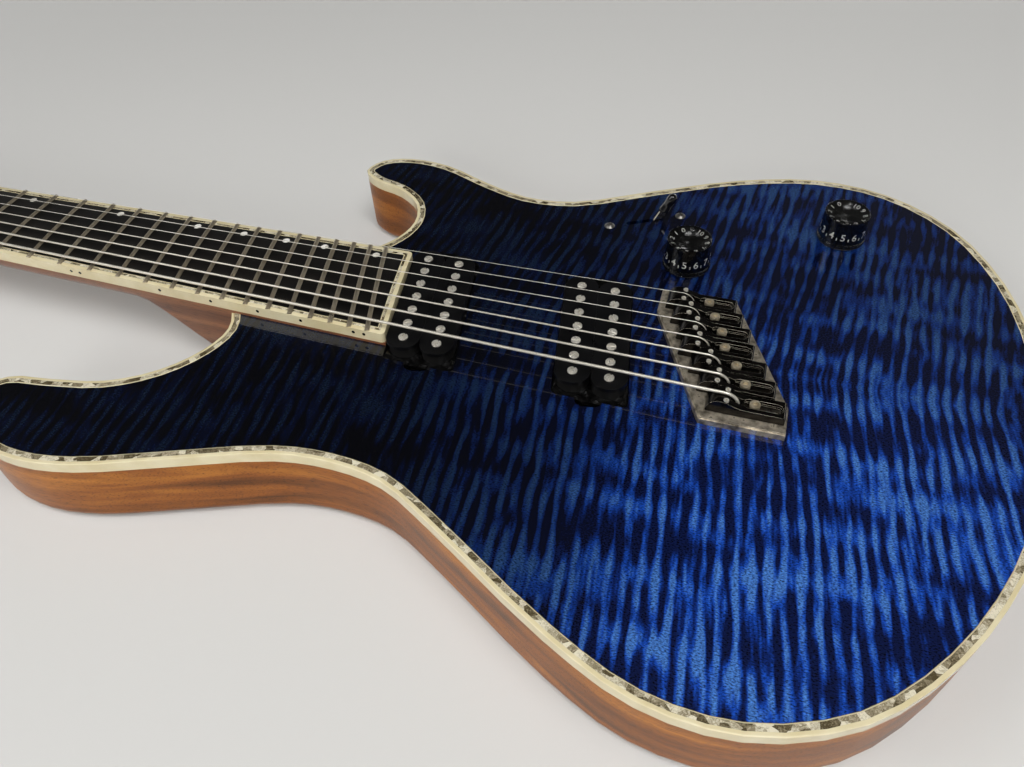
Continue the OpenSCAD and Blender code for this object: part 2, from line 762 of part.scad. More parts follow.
// Pickups: two bobbins each, wound with coils, on a baseplate with a leg at each end
flange_t = 2.2;
coil_z = bobbin_top - 10;
bobbin_z = coil_z - 1.5;
bobbin_corner = 8;
core_l = 68;
core_w = 6;
pole_r = 1.5;
pole_head_r = 2.4;
pole_head_h = 1.1;
function pole_y(k) = pole_pitch * (3 - k);
module pole_holes(z0, z1, r) {
    at_rows() for (k = [0 : last]) translate([0, pole_y(k), z0]) cylinder(r = r, h = z1 - z0, $fn = 24);
}
// The lower flanges are wide, so that the two together fill the route around the coils
module bobbin_pair() {
    difference() {
        union() {
            at_rows() {
                slab(rounded(bobbin_w, bobbin_l, bobbin_corner), bobbin_top - flange_t, bobbin_top);
                slab(rounded(core_w, core_l, 2.9), coil_z - 0.1, bobbin_top - flange_t + 0.1);
            }
            slab(skewed(rounded(route_w - 2 * route_gap, route_l - 2 * route_gap, route_corner)),
                bobbin_z, coil_z);
        }
        translate([-bobbin_gap / 2, -route_l, bobbin_z - 1])
            cube([bobbin_gap, 2 * route_l, coil_z - bobbin_z + 1.5]);
        for (s = [-1, 1]) translate([0, s * screw_y, bobbin_z - 1]) cylinder(r = 3.2, h = 5);
        pole_holes(bobbin_z - 1, bobbin_top + 1, pole_r + joint_gap);
        pole_holes(bobbin_top - 0.5, bobbin_top + 1, pole_head_r + 0.1);
    }
}
module neck_pickup_bobbins() {
    color("black") translate([neck_pickup_x, 0, 0]) rotate(pickup_turn) bobbin_pair();
}
module bridge_pickup_bobbins() {
    color("black") translate([bridge_pickup_x, 0, 0]) rotate(pickup_turn) bobbin_pair();
}

module pickup_coils() {
    color("dimgray") at_pickups() at_rows() difference() {
        slab(rounded(bobbin_w - 1.4, bobbin_l - 1.4, bobbin_corner - 0.4),
            coil_z + joint_gap, bobbin_top - flange_t - joint_gap);
        slab(rounded(core_w + 0.1, core_l + 0.1, 2.95), coil_z - 1, bobbin_top);
    }
}

base_z = bobbin_z - 4.6;
base_t = 1.2;
module pickup_baseplates() {
    color("silver") at_pickups() difference() {
        translate([0, 0, base_z]) linear_extrude(base_t) pickup_plan(route_gap);
        pole_holes(base_z - 1, base_z + 5, pole_r + 0.1);
        for (s = [-1, 1]) translate([0, s * screw_y, base_z - 1]) cylinder(r = 1.7, h = 5);
    }
}

module pickup_magnets() {
    color("gray") at_pickups() {
        translate([-6, -34, base_z + base_t + joint_gap]) cube([12, 68, 3.2]);
    }
}

module pickup_poles() {
    color("silver") at_pickups() at_rows() for (k = [0 : last])
        translate([0, pole_y(k), bobbin_top - 0.5]) difference() {
            union() {
                translate([0, 0, joint_gap]) cylinder(r = pole_head_r, h = pole_head_h, $fn = 24);
                translate([0, 0, base_z - 2.5 - bobbin_top])
                    cylinder(r = pole_r, h = bobbin_top - base_z + 2.8, $fn = 24);
            }
            rotate(40 + 35 * k) translate([-4, -0.35, pole_head_h - 0.6]) cube([8, 0.7, 2]);
        }
}

// Bridge plate: a slanted parallelogram with two corners clipped square to the strings
plate_lean = 31 / 68;
plate_mid = 27;
plate_front = -22.4;
plate_rear = 24.1;
plate_half = 42.5;
plate_clip = 17;
function plate_edge_x(y, shift) = plate_mid + shift - plate_lean * y;
plate_points = [
    [plate_edge_x(plate_half - plate_clip, plate_front), plate_half],
    [plate_edge_x(plate_half - plate_clip, plate_front), plate_half - plate_clip],
    [plate_edge_x(-plate_half, plate_front), -plate_half],
    [plate_edge_x(-plate_half + plate_clip, plate_rear), -plate_half],
    [plate_edge_x(-plate_half + plate_clip, plate_rear), -plate_half + plate_clip],
    [plate_edge_x(plate_half, plate_rear), plate_half]
];
lock_back = 14.6;
lock_r = 1.5;
function lock_at(i) = [break_x(i) + lock_back, string_y(i)];
// Mounting screws, countersunk in the plate under every other saddle
mount_back = 22.2;
mount_head_r = 3;
mount_head_h = 1.8;
mount_r = 1.3;
mount_screws = [for (i = [0 : 2 : last]) [break_x(i) + mount_back, string_y(i), plate_top - 0.05]];

module bridge_plate() {
    color("darkgoldenrod") difference() {
        union() {
            slab(plate_points, face_z, plate_top - 0.8);
            slab(shifted(plate_points, 0.9, true), plate_top - 0.9, plate_top);
        }
        string_holes(face_z - 1, plate_top + 1, string_hole_r);
        for (i = [0 : last])
            translate([lock_at(i).x, lock_at(i).y, face_z - 1]) cylinder(r = lock_r + joint_gap, h = 9);
        for (p = mount_screws) translate(p) rotate_extrude() polygon([
            [0, 1], [mount_head_r + 1, 1], [mount_r + 0.1, -mount_head_h - 0.1],
            [mount_r + 0.1, -9], [0, -9]
        ]);
    }
}

// Saddle: side profile with a rounded nose before the crest, a long slot for the string and the lock
// screw, a recess along it for the screw's head, and two height screws beside the string
nose_l = 7;
nose_foot = 0.6;
nose_steps = 6;
saddle_lift = 0.3;
deck_drop = 3;
slot_front = 3;
saddle_slot_w = 3.4;
slot_spare = 3;
slot_back = lock_back + saddle_slot_w / 2 + saddle_travel + slot_spare;
lock_head_r = 2.4;
recess_front = 9.4;
recess_past = 0.8;
recess_w = 5.4;
recess_d = 1.5;
height_screw_r = 1.2;
height_screw_x = 1.7;
height_screw_y = 3.4;
function crest_z(i) = string_z_bridge(i) - gauge[i] / 2 - slide_gap;
module at_saddle(i) {
    translate([break_x(i), string_y(i), 0]) children();
}
module saddle(i) {
    z1 = crest_z(i);
    z0 = plate_top + saddle_lift;
    color("dimgray") at_saddle(i) {
        difference() {
            translate([0, saddle_w / 2, 0]) rotate([90, 0, 0]) linear_extrude(saddle_w) polygon(concat(
                [[nose_foot - nose_l, z0], [saddle_back, z0], [saddle_back, z1 - deck_drop - 0.8],
                [saddle_back - 0.8, z1 - deck_drop], [9, z1 - deck_drop], [4, z1 - 1.4], [2, z1 - 0.55],
                [0.5, z1]],
                [for (k = [0 : nose_steps])
                    let (a = 90 * k / nose_steps)
                    [-nose_foot - (nose_l - nose_foot) * sin(a),
                        z0 + nose_foot + (z1 - z0 - nose_foot) * cos(a)]]
            ));
            translate([(slot_front + slot_back) / 2, 0, 0])
                slab(rounded(slot_back - slot_front, saddle_slot_w, saddle_slot_w / 2 - 0.02),
                    z0 - 1, z1 + 1);
            translate([(recess_front + slot_back + recess_past) / 2, 0, 0])
                slab(rounded(slot_back + recess_past - recess_front, recess_w, recess_w / 2 - 0.02),
                    z1 - deck_drop - recess_d, z1 + 1);
            for (s = [-1, 1]) translate([height_screw_x, s * height_screw_y, z0 - 1])
                cylinder(r = height_screw_r + joint_gap, h = 20);
        }
        for (s = [-1, 1]) translate([height_screw_x, s * height_screw_y, plate_top + slide_gap])
            difference() {
                cylinder(r = height_screw_r, h = z1 - plate_top);
                translate([0, 0, z1 - plate_top - 1.6]) cylinder(r = 0.7, h = 3, $fn = 6);
            }
    }
}
module saddle_1() { saddle(0); }
module saddle_2() { saddle(1); }
module saddle_3() { saddle(2); }
module saddle_4() { saddle(3); }
module saddle_5() { saddle(4); }
module saddle_6() { saddle(5); }
module saddle_7() { saddle(6); }

module saddle_lock_screws() {
    color("silver") for (i = [0 : last]) translate([lock_at(i).x, lock_at(i).y, 0]) {
        seat = crest_z(i) - deck_drop - recess_d + slide_gap;
        difference() {
            union() {
                translate([0, 0, face_z + 0.3]) cylinder(r = lock_r, h = seat - face_z);
                translate([0, 0, seat]) cylinder(r = lock_head_r, h = 1.8);
            }
            translate([0, 0, seat + 0.7]) cylinder(r = 1.25, h = 3, $fn = 6);
        }
    }
}

// Strings: from the post's groove over the nut to the crest, round a bend and down to the ferrule
post_r = 3;
groove_r = 2.5;
groove_z = veneer_t + 8;
wrap_gap = 0.15;
ball_r = 1.9;
ball_z = 2;
ball_h = 3.6;
function wrap_r(i) = groove_r + wrap_gap + gauge[i] / 2;
// Tangent point on the inner side of the post
function wrap_point(i) = from_head([tuner_at(i).x, tuner_at(i).y - tuner_side(i) * wrap_r(i), groove_z]);
// A bead a little wider than the wire joins two runs of it
bead = 1.15;
wrap_angle = 250;
module string(i) {
    r = gauge[i] / 2;
    over_crest = break_point(i) + [drop_lead, 0, 0];
    low = drop_at(i);
    on_headstock() translate([tuner_at(i).x, tuner_at(i).y, groove_z])
        rotate([0, 0, tuner_side(i) > 0 ? -90 - wrap_angle : 90])
            rotate_extrude(angle = wrap_angle, $fn = 96) translate([wrap_r(i), 0]) circle(r, $fn = 24);
    rod(wrap_point(i), string_at(i, 1), r);
    rod(string_at(i, 1), over_crest, r);
    translate([over_crest.x, over_crest.y, low.z]) rotate([90, 0, 0])
        rotate_extrude(angle = 90, $fn = 96) translate([drop_r, 0]) circle(r, $fn = 24);
    rod(low, [low.x, low.y, ball_z + ball_h / 2], r);
    along = over_crest - string_at(i, 1);
    for (p = [wrap_point(i), string_at(i, 1), over_crest]) aim(p, along) sphere(bead * r, $fn = 24);
    translate(low) sphere(bead * r, $fn = 24);
    translate([low.x, low.y, ball_z]) cylinder(r = ball_r, h = ball_h);
}
module strings() {
    color("gainsboro") for (i = [0 : last]) string(i);
}

module string_ferrules() {
    color("silver") for (i = [0 : last]) translate([drop_at(i).x, drop_at(i).y, 0]) difference() {
        cylinder(r = ferrule_r, h = ferrule_h - joint_gap);
        translate([0, 0, -1]) cylinder(r = ball_r + 0.1, h = 6.7);
        cylinder(r = 1.1, h = ferrule_h + 1);
    }
}

// Tuners: sealed housing behind the headstock, bushing through it, post, and button on a side shaft
housing_w = 19;
housing_h = 10.4;
housing_in = 7;
worm_off = 5.2;
worm_z = -head_t - 5;
shaft_r = 2;
gear_r = 3.9;
gear_h = 3.6;
module at_tuner(i) {
    on_headstock() translate([tuner_at(i).x, tuner_at(i).y, 0])
        rotate([0, 0, tuner_side(i) > 0 ? 0 : 180]) children();
}
module tuner_housings() {
    color("black") for (i = [0 : last]) at_tuner(i) difference() {
        translate([0, housing_w / 2 - housing_in, 0]) {
            translate([-worm_off / 2, 0, 0])
                slab(rounded(housing_l + worm_off, housing_w, 3), -head_t - housing_h, -head_t - joint_gap);
        }
        translate([0, 0, worm_z - gear_h / 2 - 0.3]) cylinder(r = gear_r + 0.4, h = gear_h + 0.6);
        translate([0, 0, worm_z]) cylinder(r = post_r + run_gap, h = 20);
        translate([-worm_off - 1, -housing_in + 2, worm_z]) rotate([-90, 0, 0])
            cylinder(r = shaft_r + run_gap, h = 40);
    }
}

module tuner_bushings() {
    color("dimgray") for (i = [0 : last]) at_tuner(i) difference() {
        union() {
            translate([0, 0, -head_t + 0.5]) cylinder(r = bushing_r, h = head_t + veneer_t);
            translate([0, 0, veneer_t + joint_gap]) cylinder(r = 7, h = 0.8);
            translate([0, 0, veneer_t + 0.7]) cylinder(r = 5.9, h = 2, $fn = 6);
        }
        translate([0, 0, -head_t - 1]) cylinder(r = post_r + run_gap, h = head_t + 12);
    }
}

// Button: a rounded grip with two flats on its shaft, the shaft's end running beside the post's gear
button_y = housing_w - housing_in + 4;
button_t = 9;
module tuner_button(i) {
    color("black") at_tuner(i) translate([-worm_off - 1, 0, worm_z]) rotate([-90, 0, 0]) {
        translate([0, 0, -housing_in + 2.3]) cylinder(r = shaft_r, h = button_y + housing_in);
        intersection() {
            translate([0, 0, button_y]) rotate_extrude() polygon([
                [0, 0], [3, 0], [4.2, 1.5], [7.2, 4.5], [8, 7.5], [7.6, 10.5], [6.2, 12.8],
                [3.5, 14], [0, 14.3]
            ]);
            translate([-10, -button_t / 2, 0]) cube([20, button_t, 50]);
        }
    }
}
module tuner_button_1() { tuner_button(0); }
module tuner_button_2() { tuner_button(1); }
module tuner_button_3() { tuner_button(2); }
module tuner_button_4() { tuner_button(3); }
module tuner_button_5() { tuner_button(4); }
module tuner_button_6() { tuner_button(5); }
module tuner_button_7() { tuner_button(6); }

// Post: a waisted spindle with the worm wheel on its foot
wheel_teeth = 14;
module tuner_post(i) {
    color("silver") at_tuner(i) {
        rotate_extrude() polygon([
            [0, worm_z], [post_r, worm_z], [post_r, groove_z - 4], [groove_r, groove_z - 3.2],
            [groove_r, groove_z + 1], [post_r, groove_z + 1.8], [post_r, groove_z + 6.4],
            [post_r - 0.6, groove_z + 7], [0, groove_z + 7]
        ]);
        translate([0, 0, worm_z - gear_h / 2]) linear_extrude(gear_h) polygon([
            for (k = [0 : wheel_teeth * 4 - 1])
                let (r = k % 4 < 2 ? gear_r : gear_r - 0.6, a = 90 * k / wheel_teeth)
                r * [cos(a), sin(a)]
        ]);
    }
}
module tuner_post_1() { tuner_post(0); }
module tuner_post_2() { tuner_post(1); }
module tuner_post_3() { tuner_post(2); }
module tuner_post_4() { tuner_post(3); }
module tuner_post_5() { tuner_post(4); }
module tuner_post_6() { tuner_post(5); }
module tuner_post_7() { tuner_post(6); }

// Controls: clear-skirted barrel knobs on pot shafts
knob_r = 13.2;
knob_top_r = 12;
knob_h = 17.2;
knob_gap = 0.6;
pot_shaft_r = 3;
pot_z = cap_z - 0.2;
pot_h = 9;
pot_r = 8.5;
bush_r = 4;
shaft_down = cap_t + 8;
module knob(p) {
    color("black") translate([p.x, p.y, face_z + knob_gap]) {
        rotate_extrude() polygon([
            [0, 4.4], [5.2, 4.4], [5.2, 13.2], [8.7, 13.2], [9.6, 0], [knob_r, 0],
            [knob_top_r + 0.15, knob_h - 0.7], [knob_top_r - 0.6, knob_h], [9.6, knob_h],
            [8.6, knob_h - 0.7], [0, knob_h - 0.9]
        ]);
        translate([0, 0, -shaft_down]) cylinder(r = pot_shaft_r, h = shaft_down + 5);
    }
}
module volume_knob() { knob(volume_at); }
module tone_knob() { knob(tone_at); }

module control_pots() {
    color("silver") for (p = [volume_at, tone_at]) translate([p.x, p.y, 0]) difference() {
        union() {
            translate([0, 0, pot_z - pot_h]) cylinder(r = pot_r, h = pot_h);
            translate([0, 0, pot_z - 0.1]) cylinder(r = bush_r, h = cap_t + 3);
            translate([0, 0, face_z + joint_gap]) cylinder(r = 6.2, h = 2, $fn = 6);
        }
        translate([0, 0, face_z - shaft_down]) cylinder(r = pot_shaft_r + run_gap, h = 40);
    }
}

// Selector: a blade on a pivot below the face, swinging along its slot
pivot_z = face_z - 13;
blade_w = 4;
blade_t = 1.4;
blade_from = 3.5;
hub_r = 5.5;
pivot_r = 1.5;
tip_from = 20.5;
module selector_lever() {
    color("black") at_selector() translate([0, 0, pivot_z]) rotate([0, selector_lean, 0]) {
        translate([-blade_w / 2, -blade_t / 2, blade_from])
            cube([blade_w, blade_t, tip_from + 0.5 - blade_from]);
        difference() {
            rotate([90, 0, 0]) translate([0, 0, -blade_t / 2]) cylinder(r = hub_r, h = blade_t);
            rotate([90, 0, 0]) translate([0, 0, -5]) cylinder(r = pivot_r + run_gap, h = 10);
        }
        translate([0, 0, tip_from]) rotate_extrude() polygon([
            [0, 0], [2.6, 0], [3.1, 1], [2.6, 5], [2.9, 9], [2.4, 11.6], [1.2, 12.6], [0, 12.8]
        ]);
    }
}

frame_down = 9;
module selector_switch() {
    color("silver") at_selector() {
        difference() {
            slab(rounded(2 * selector_screw + 7, 9, 4.4), cap_z - 1.4, cap_z - 0.1);
            slab(rounded(slot_l + 4, slot_w + 1.6, 1.9), cap_z - 3, cap_z + 1);
            for (s = [-1, 1]) translate([s * selector_screw, 0, cap_z - 3]) cylinder(r = 1.6, h = 6);
        }
        for (s = [-1, 1]) translate([-12, s * 3.2 - 0.6, pivot_z - frame_down])
            cube([24, 1.2, cap_z - 1.3 - pivot_z + frame_down]);
        translate([0, 3.5, pivot_z]) rotate([90, 0, 0]) cylinder(r = pivot_r, h = 7);
    }
}

// Barrel output jack with a flange let into the edge
module output_jack() {
    color("black") at_jack() difference() {
        union() {
            translate([0, 0, -flange_in]) cylinder(r = flange_r, h = flange_in + 0.2);
            translate([0, 0, -jack_len]) cylinder(r = barrel_r, h = jack_len);
        }
        translate([0, 0, -jack_len + jack_end]) cylinder(r = jack_bore_r, h = jack_len);
    }
}

cover_screw_points = [[-58, 92], [0, 49], [66, 75], [112, 118], [66, 141], [-22, 129]];
module control_cover() {
    color("black") difference() {
        slab(cavity_outline(cover_lip - 0.15), 0, cover_t);
        for (p = cover_screw_points) translate([p.x, p.y, -1]) cylinder(r = 1.4, h = 5);
    }
}

// Strap buttons at the butt and at the tip of the bass horn
strap_places = [[177.3, 5, 22, 0], [-322.5, -119, 22, 180]];
module at_strap(p) {
    translate([p.x, p.y, p.z]) rotate([0, 0, p[3]]) rotate([0, 90, 0]) children();
}
module strap_buttons() {
    color("dimgray") for (p = strap_places) at_strap(p) rotate_extrude() polygon([
        [2.1, 0.1], [6.5, 0.1], [6.2, 1.4], [3.8, 3.4], [3.6, 7], [5.6, 10], [7, 11.4], [6.8, 13.2],
        [4.4, 14], [4.4, 12], [2.1, 10]
    ]);
}

module screws() {
    color("black") {
        for (p = mount_screws) translate(p) difference() {
            rotate_extrude() polygon([
                [0, 0], [mount_head_r, 0], [mount_r, -mount_head_h], [mount_r, -20], [0, -23]
            ]);
            cross_recess(mount_head_r, -0.9);
        }
        for (p = cover_screw_points)
            translate([p.x, p.y, 0.6]) mirror([0, 0, 1]) wood_screw(1.3, 0.6, 1, 10);
        at_selector() for (s = [-1, 1])
            translate([s * selector_screw, 0, face_z]) wood_screw(3, 1.6, 1.5, 9);
        at_pickups() for (s = [-1, 1])
            translate([0, s * screw_y, base_z + base_t]) wood_screw(2.6, 1.6, 1.4, 16);
        on_headstock() for (p = cover_screws)
            translate([p.x, p.y, veneer_t + 1.8]) wood_screw(2, 0.9, 1, 9);
        for (p = strap_places) at_strap(p) translate([0, 0, 12.1]) wood_screw(4.2, 1.6, 2, 32);
    }
}

// Leads between the pickups, the controls and the jack
wire_r = 1.2;
wire_sag = [0, 0, -0.8];
module wiring() {
    z = 31;
    jack_back = jack_at - (jack_len + 0.5) * [cos(jack_turn), sin(jack_turn), 0];
    color("darkslategray") {
        rod(lead_path[0] + wire_sag, lead_path[1] + wire_sag, wire_r);
        rod(lead_path[1] + wire_sag, lead_path[2] + wire_sag, wire_r);
        rod([volume_at.x + 10, volume_at.y + 4, z], [tone_at.x - 10, tone_at.y - 2, z], wire_r);
        rod([selector_at.x + 4, selector_at.y - 6, 26], [volume_at.x - 6, volume_at.y + 9, 28], wire_r);
        rod([tone_at.x + 10, tone_at.y - 2, 26], jack_back, wire_r);
    }
}

neck_core();
neck_stripes();
headstock();
headstock_veneer();
body_wings();
maple_top();
body_binding();
body_purfling();
fingerboard();
fingerboard_binding();
fingerboard_purfling();
frets();
face_dots();
side_dots();
nut();
truss_rod();
truss_rod_cover();
neck_pickup_bobbins();
bridge_pickup_bobbins();
pickup_coils();
pickup_baseplates();
pickup_magnets();
pickup_poles();
bridge_plate();
saddle_1();
saddle_2();
saddle_3();
saddle_4();
saddle_5();
saddle_6();
saddle_7();
saddle_lock_screws();
strings();
string_ferrules();
tuner_housings();
tuner_bushings();
tuner_button_1();
tuner_button_2();
tuner_button_3();
tuner_button_4();
tuner_button_5();
tuner_button_6();
tuner_button_7();
tuner_post_1();
tuner_post_2();
tuner_post_3();
tuner_post_4();
tuner_post_5();
tuner_post_6();
tuner_post_7();
volume_knob();
tone_knob();
selector_lever();
selector_switch();
control_pots();
output_jack();
control_cover();
strap_buttons();
screws();
wiring();
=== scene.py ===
"""Seven-string electric guitar with fanned frets: its finished pieces, the studio and the camera.

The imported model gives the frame. Each sub-assembly is a class that refines or rebuilds its pieces
and dresses them. Sizes are written in millimetres and built in metres.
"""

import json
import logging
import math
from collections.abc import Callable, Iterable, Sequence
from dataclasses import dataclass
from enum import Enum

import bmesh
import bpy
from bmesh.types import BMEdge, BMesh, BMFace, BMVert
from mathutils import Matrix, Vector, noise
from mathutils.bvhtree import BVHTree

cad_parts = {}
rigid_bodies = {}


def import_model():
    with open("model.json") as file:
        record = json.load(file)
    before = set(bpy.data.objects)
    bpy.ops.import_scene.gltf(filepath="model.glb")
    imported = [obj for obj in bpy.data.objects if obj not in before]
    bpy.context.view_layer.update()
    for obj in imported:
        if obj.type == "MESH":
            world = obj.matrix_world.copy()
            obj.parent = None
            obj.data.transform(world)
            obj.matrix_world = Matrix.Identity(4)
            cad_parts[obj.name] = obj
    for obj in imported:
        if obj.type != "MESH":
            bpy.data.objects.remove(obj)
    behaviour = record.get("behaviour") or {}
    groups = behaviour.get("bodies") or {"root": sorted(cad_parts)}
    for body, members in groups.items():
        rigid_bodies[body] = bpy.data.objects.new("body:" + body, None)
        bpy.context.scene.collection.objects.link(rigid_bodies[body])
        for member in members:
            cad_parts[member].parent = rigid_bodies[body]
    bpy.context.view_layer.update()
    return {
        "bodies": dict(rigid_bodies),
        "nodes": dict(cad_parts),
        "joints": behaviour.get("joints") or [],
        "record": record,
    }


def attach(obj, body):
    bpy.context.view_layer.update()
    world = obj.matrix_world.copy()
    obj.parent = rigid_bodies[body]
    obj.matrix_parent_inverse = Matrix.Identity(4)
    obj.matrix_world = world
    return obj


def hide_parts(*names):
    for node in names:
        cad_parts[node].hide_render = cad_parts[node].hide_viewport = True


log = logging.getLogger("guitar")

Tree = bpy.types.NodeTree
Node = bpy.types.Node
Socket = bpy.types.NodeSocket
EdgeTest = Callable[[BMEdge], bool]
Point = tuple[float, float, float]
Profile = Sequence[tuple[float, float]]

MM = 0.001
ROOT = "guitar"
STRING_COUNT = 7
# Height of the body's face over the back
FACE_MM = 44.0
# Points of a copied or printed mesh that are nearer than this are one point
MERGE_M = 1e-6
# Edges from the first angle on are rounded, and from the second on shaded sharp
ROUND_FROM_DEG = 40.0
SHARP_FROM_DEG = 48.0
# Length of one band of a wave texture whose scale is 1
WAVE_BAND = 0.314


def linear(code: str) -> tuple[float, float, float, float]:
    """Turns an sRGB hex value into a linear colour.

    Args:
        code: The colour as #rrggbb.

    Returns:
        Red, green, blue and alpha for a node socket.
    """
    parts = [int(code[k:k + 2], 16) / 255 for k in (1, 3, 5)]
    red, green, blue = (p / 12.92 if p <= 0.04045 else ((p + 0.055) / 1.055) ** 2.4 for p in parts)
    return (red, green, blue, 1.0)


def connect(tree: Tree, node: Node, inputs: dict) -> None:
    """Sets or links inputs of a node.

    Args:
        tree: The node's tree.
        node: The node.
        inputs: Socket name or number, with the value to set or the output socket to link.
    """
    for key, value in inputs.items():
        if isinstance(value, Socket):
            tree.links.new(value, node.inputs[key])
        else:
            node.inputs[key].default_value = value


def add(
    tree: Tree, kind: str, inputs: dict | None = None, stops: Sequence[tuple[float, str]] = (),
    **settings: object,
) -> Node:
    """Adds a node with its settings and links.

    Args:
        tree: The material's node tree.
        kind: The node's type name, after ShaderNode.
        inputs: Socket name or number, with the value to set or the output socket to link.
        stops: Places and colours of a colour ramp: its first, its last, then those between.
        settings: Properties of the node.

    Returns:
        The new node.
    """
    made = tree.nodes.new("ShaderNode" + kind)
    for name, value in settings.items():
        setattr(made, name, value)
    connect(tree, made, inputs or {})
    for k, (place, code) in enumerate(stops):
        ramp = made.color_ramp.elements
        stop = ramp[k] if k < 2 else ramp.new(place)
        stop.position = place
        stop.color = linear(code)
    return made


def streaks(tree: Tree, place: Socket, sizes_mm: Point, inputs: dict) -> Socket:
    """Adds noise that is drawn out to a size along each axis.

    Args:
        tree: The material's node tree.
        place: The coordinates.
        sizes_mm: Size of a cell of the noise along x, y and z.
        inputs: More inputs of the noise, such as its detail.

    Returns:
        The noise's factor.
    """
    drawn = add(tree, "Mapping", {"Vector": place, "Scale": tuple(1 / (s * MM) for s in sizes_mm)})
    cells = add(tree, "TexNoise", {"Vector": drawn.outputs[0], "Scale": 1.0, **inputs})
    return cells.outputs["Fac"]


class Polish(Enum):
    """Roughness that a way of finishing leaves."""

    MIRROR = 0.06
    BUFFED = 0.16
    SATIN = 0.32
    SANDED = 0.5

    def drift(self, smoother: float, rougher: float, least: float = 0.02) -> dict[str, float]:
        """Gives the ends of a roughness that drifts over a surface.

        Args:
            smoother: How far it goes below the polish's own.
            rougher: How far it goes above.
            least: The smoothest that it gets.

        Returns:
            Both ends, as inputs for a range.
        """
        return {"To Min": max(least, self.value - smoother), "To Max": self.value + rougher}


@dataclass(frozen=True)
class Finish:
    """A finish: a named material on one shader, made when it is first used."""

    name: str

    def paint(self, tree: Tree, shader: Node) -> None:
        """Adds the finish's pattern to a new material.

        Args:
            tree: The material's node tree.
            shader: Its shader node.
        """

    def material(self) -> bpy.types.Material:
        """Makes the material, or finds it again.

        Returns:
            The material of this finish.
        """
        found = bpy.data.materials.get(self.name)
        if found is None:
            found = bpy.data.materials.new(self.name)
            found.use_nodes = True
            self.paint(found.node_tree, found.node_tree.nodes["Principled BSDF"])
        return found


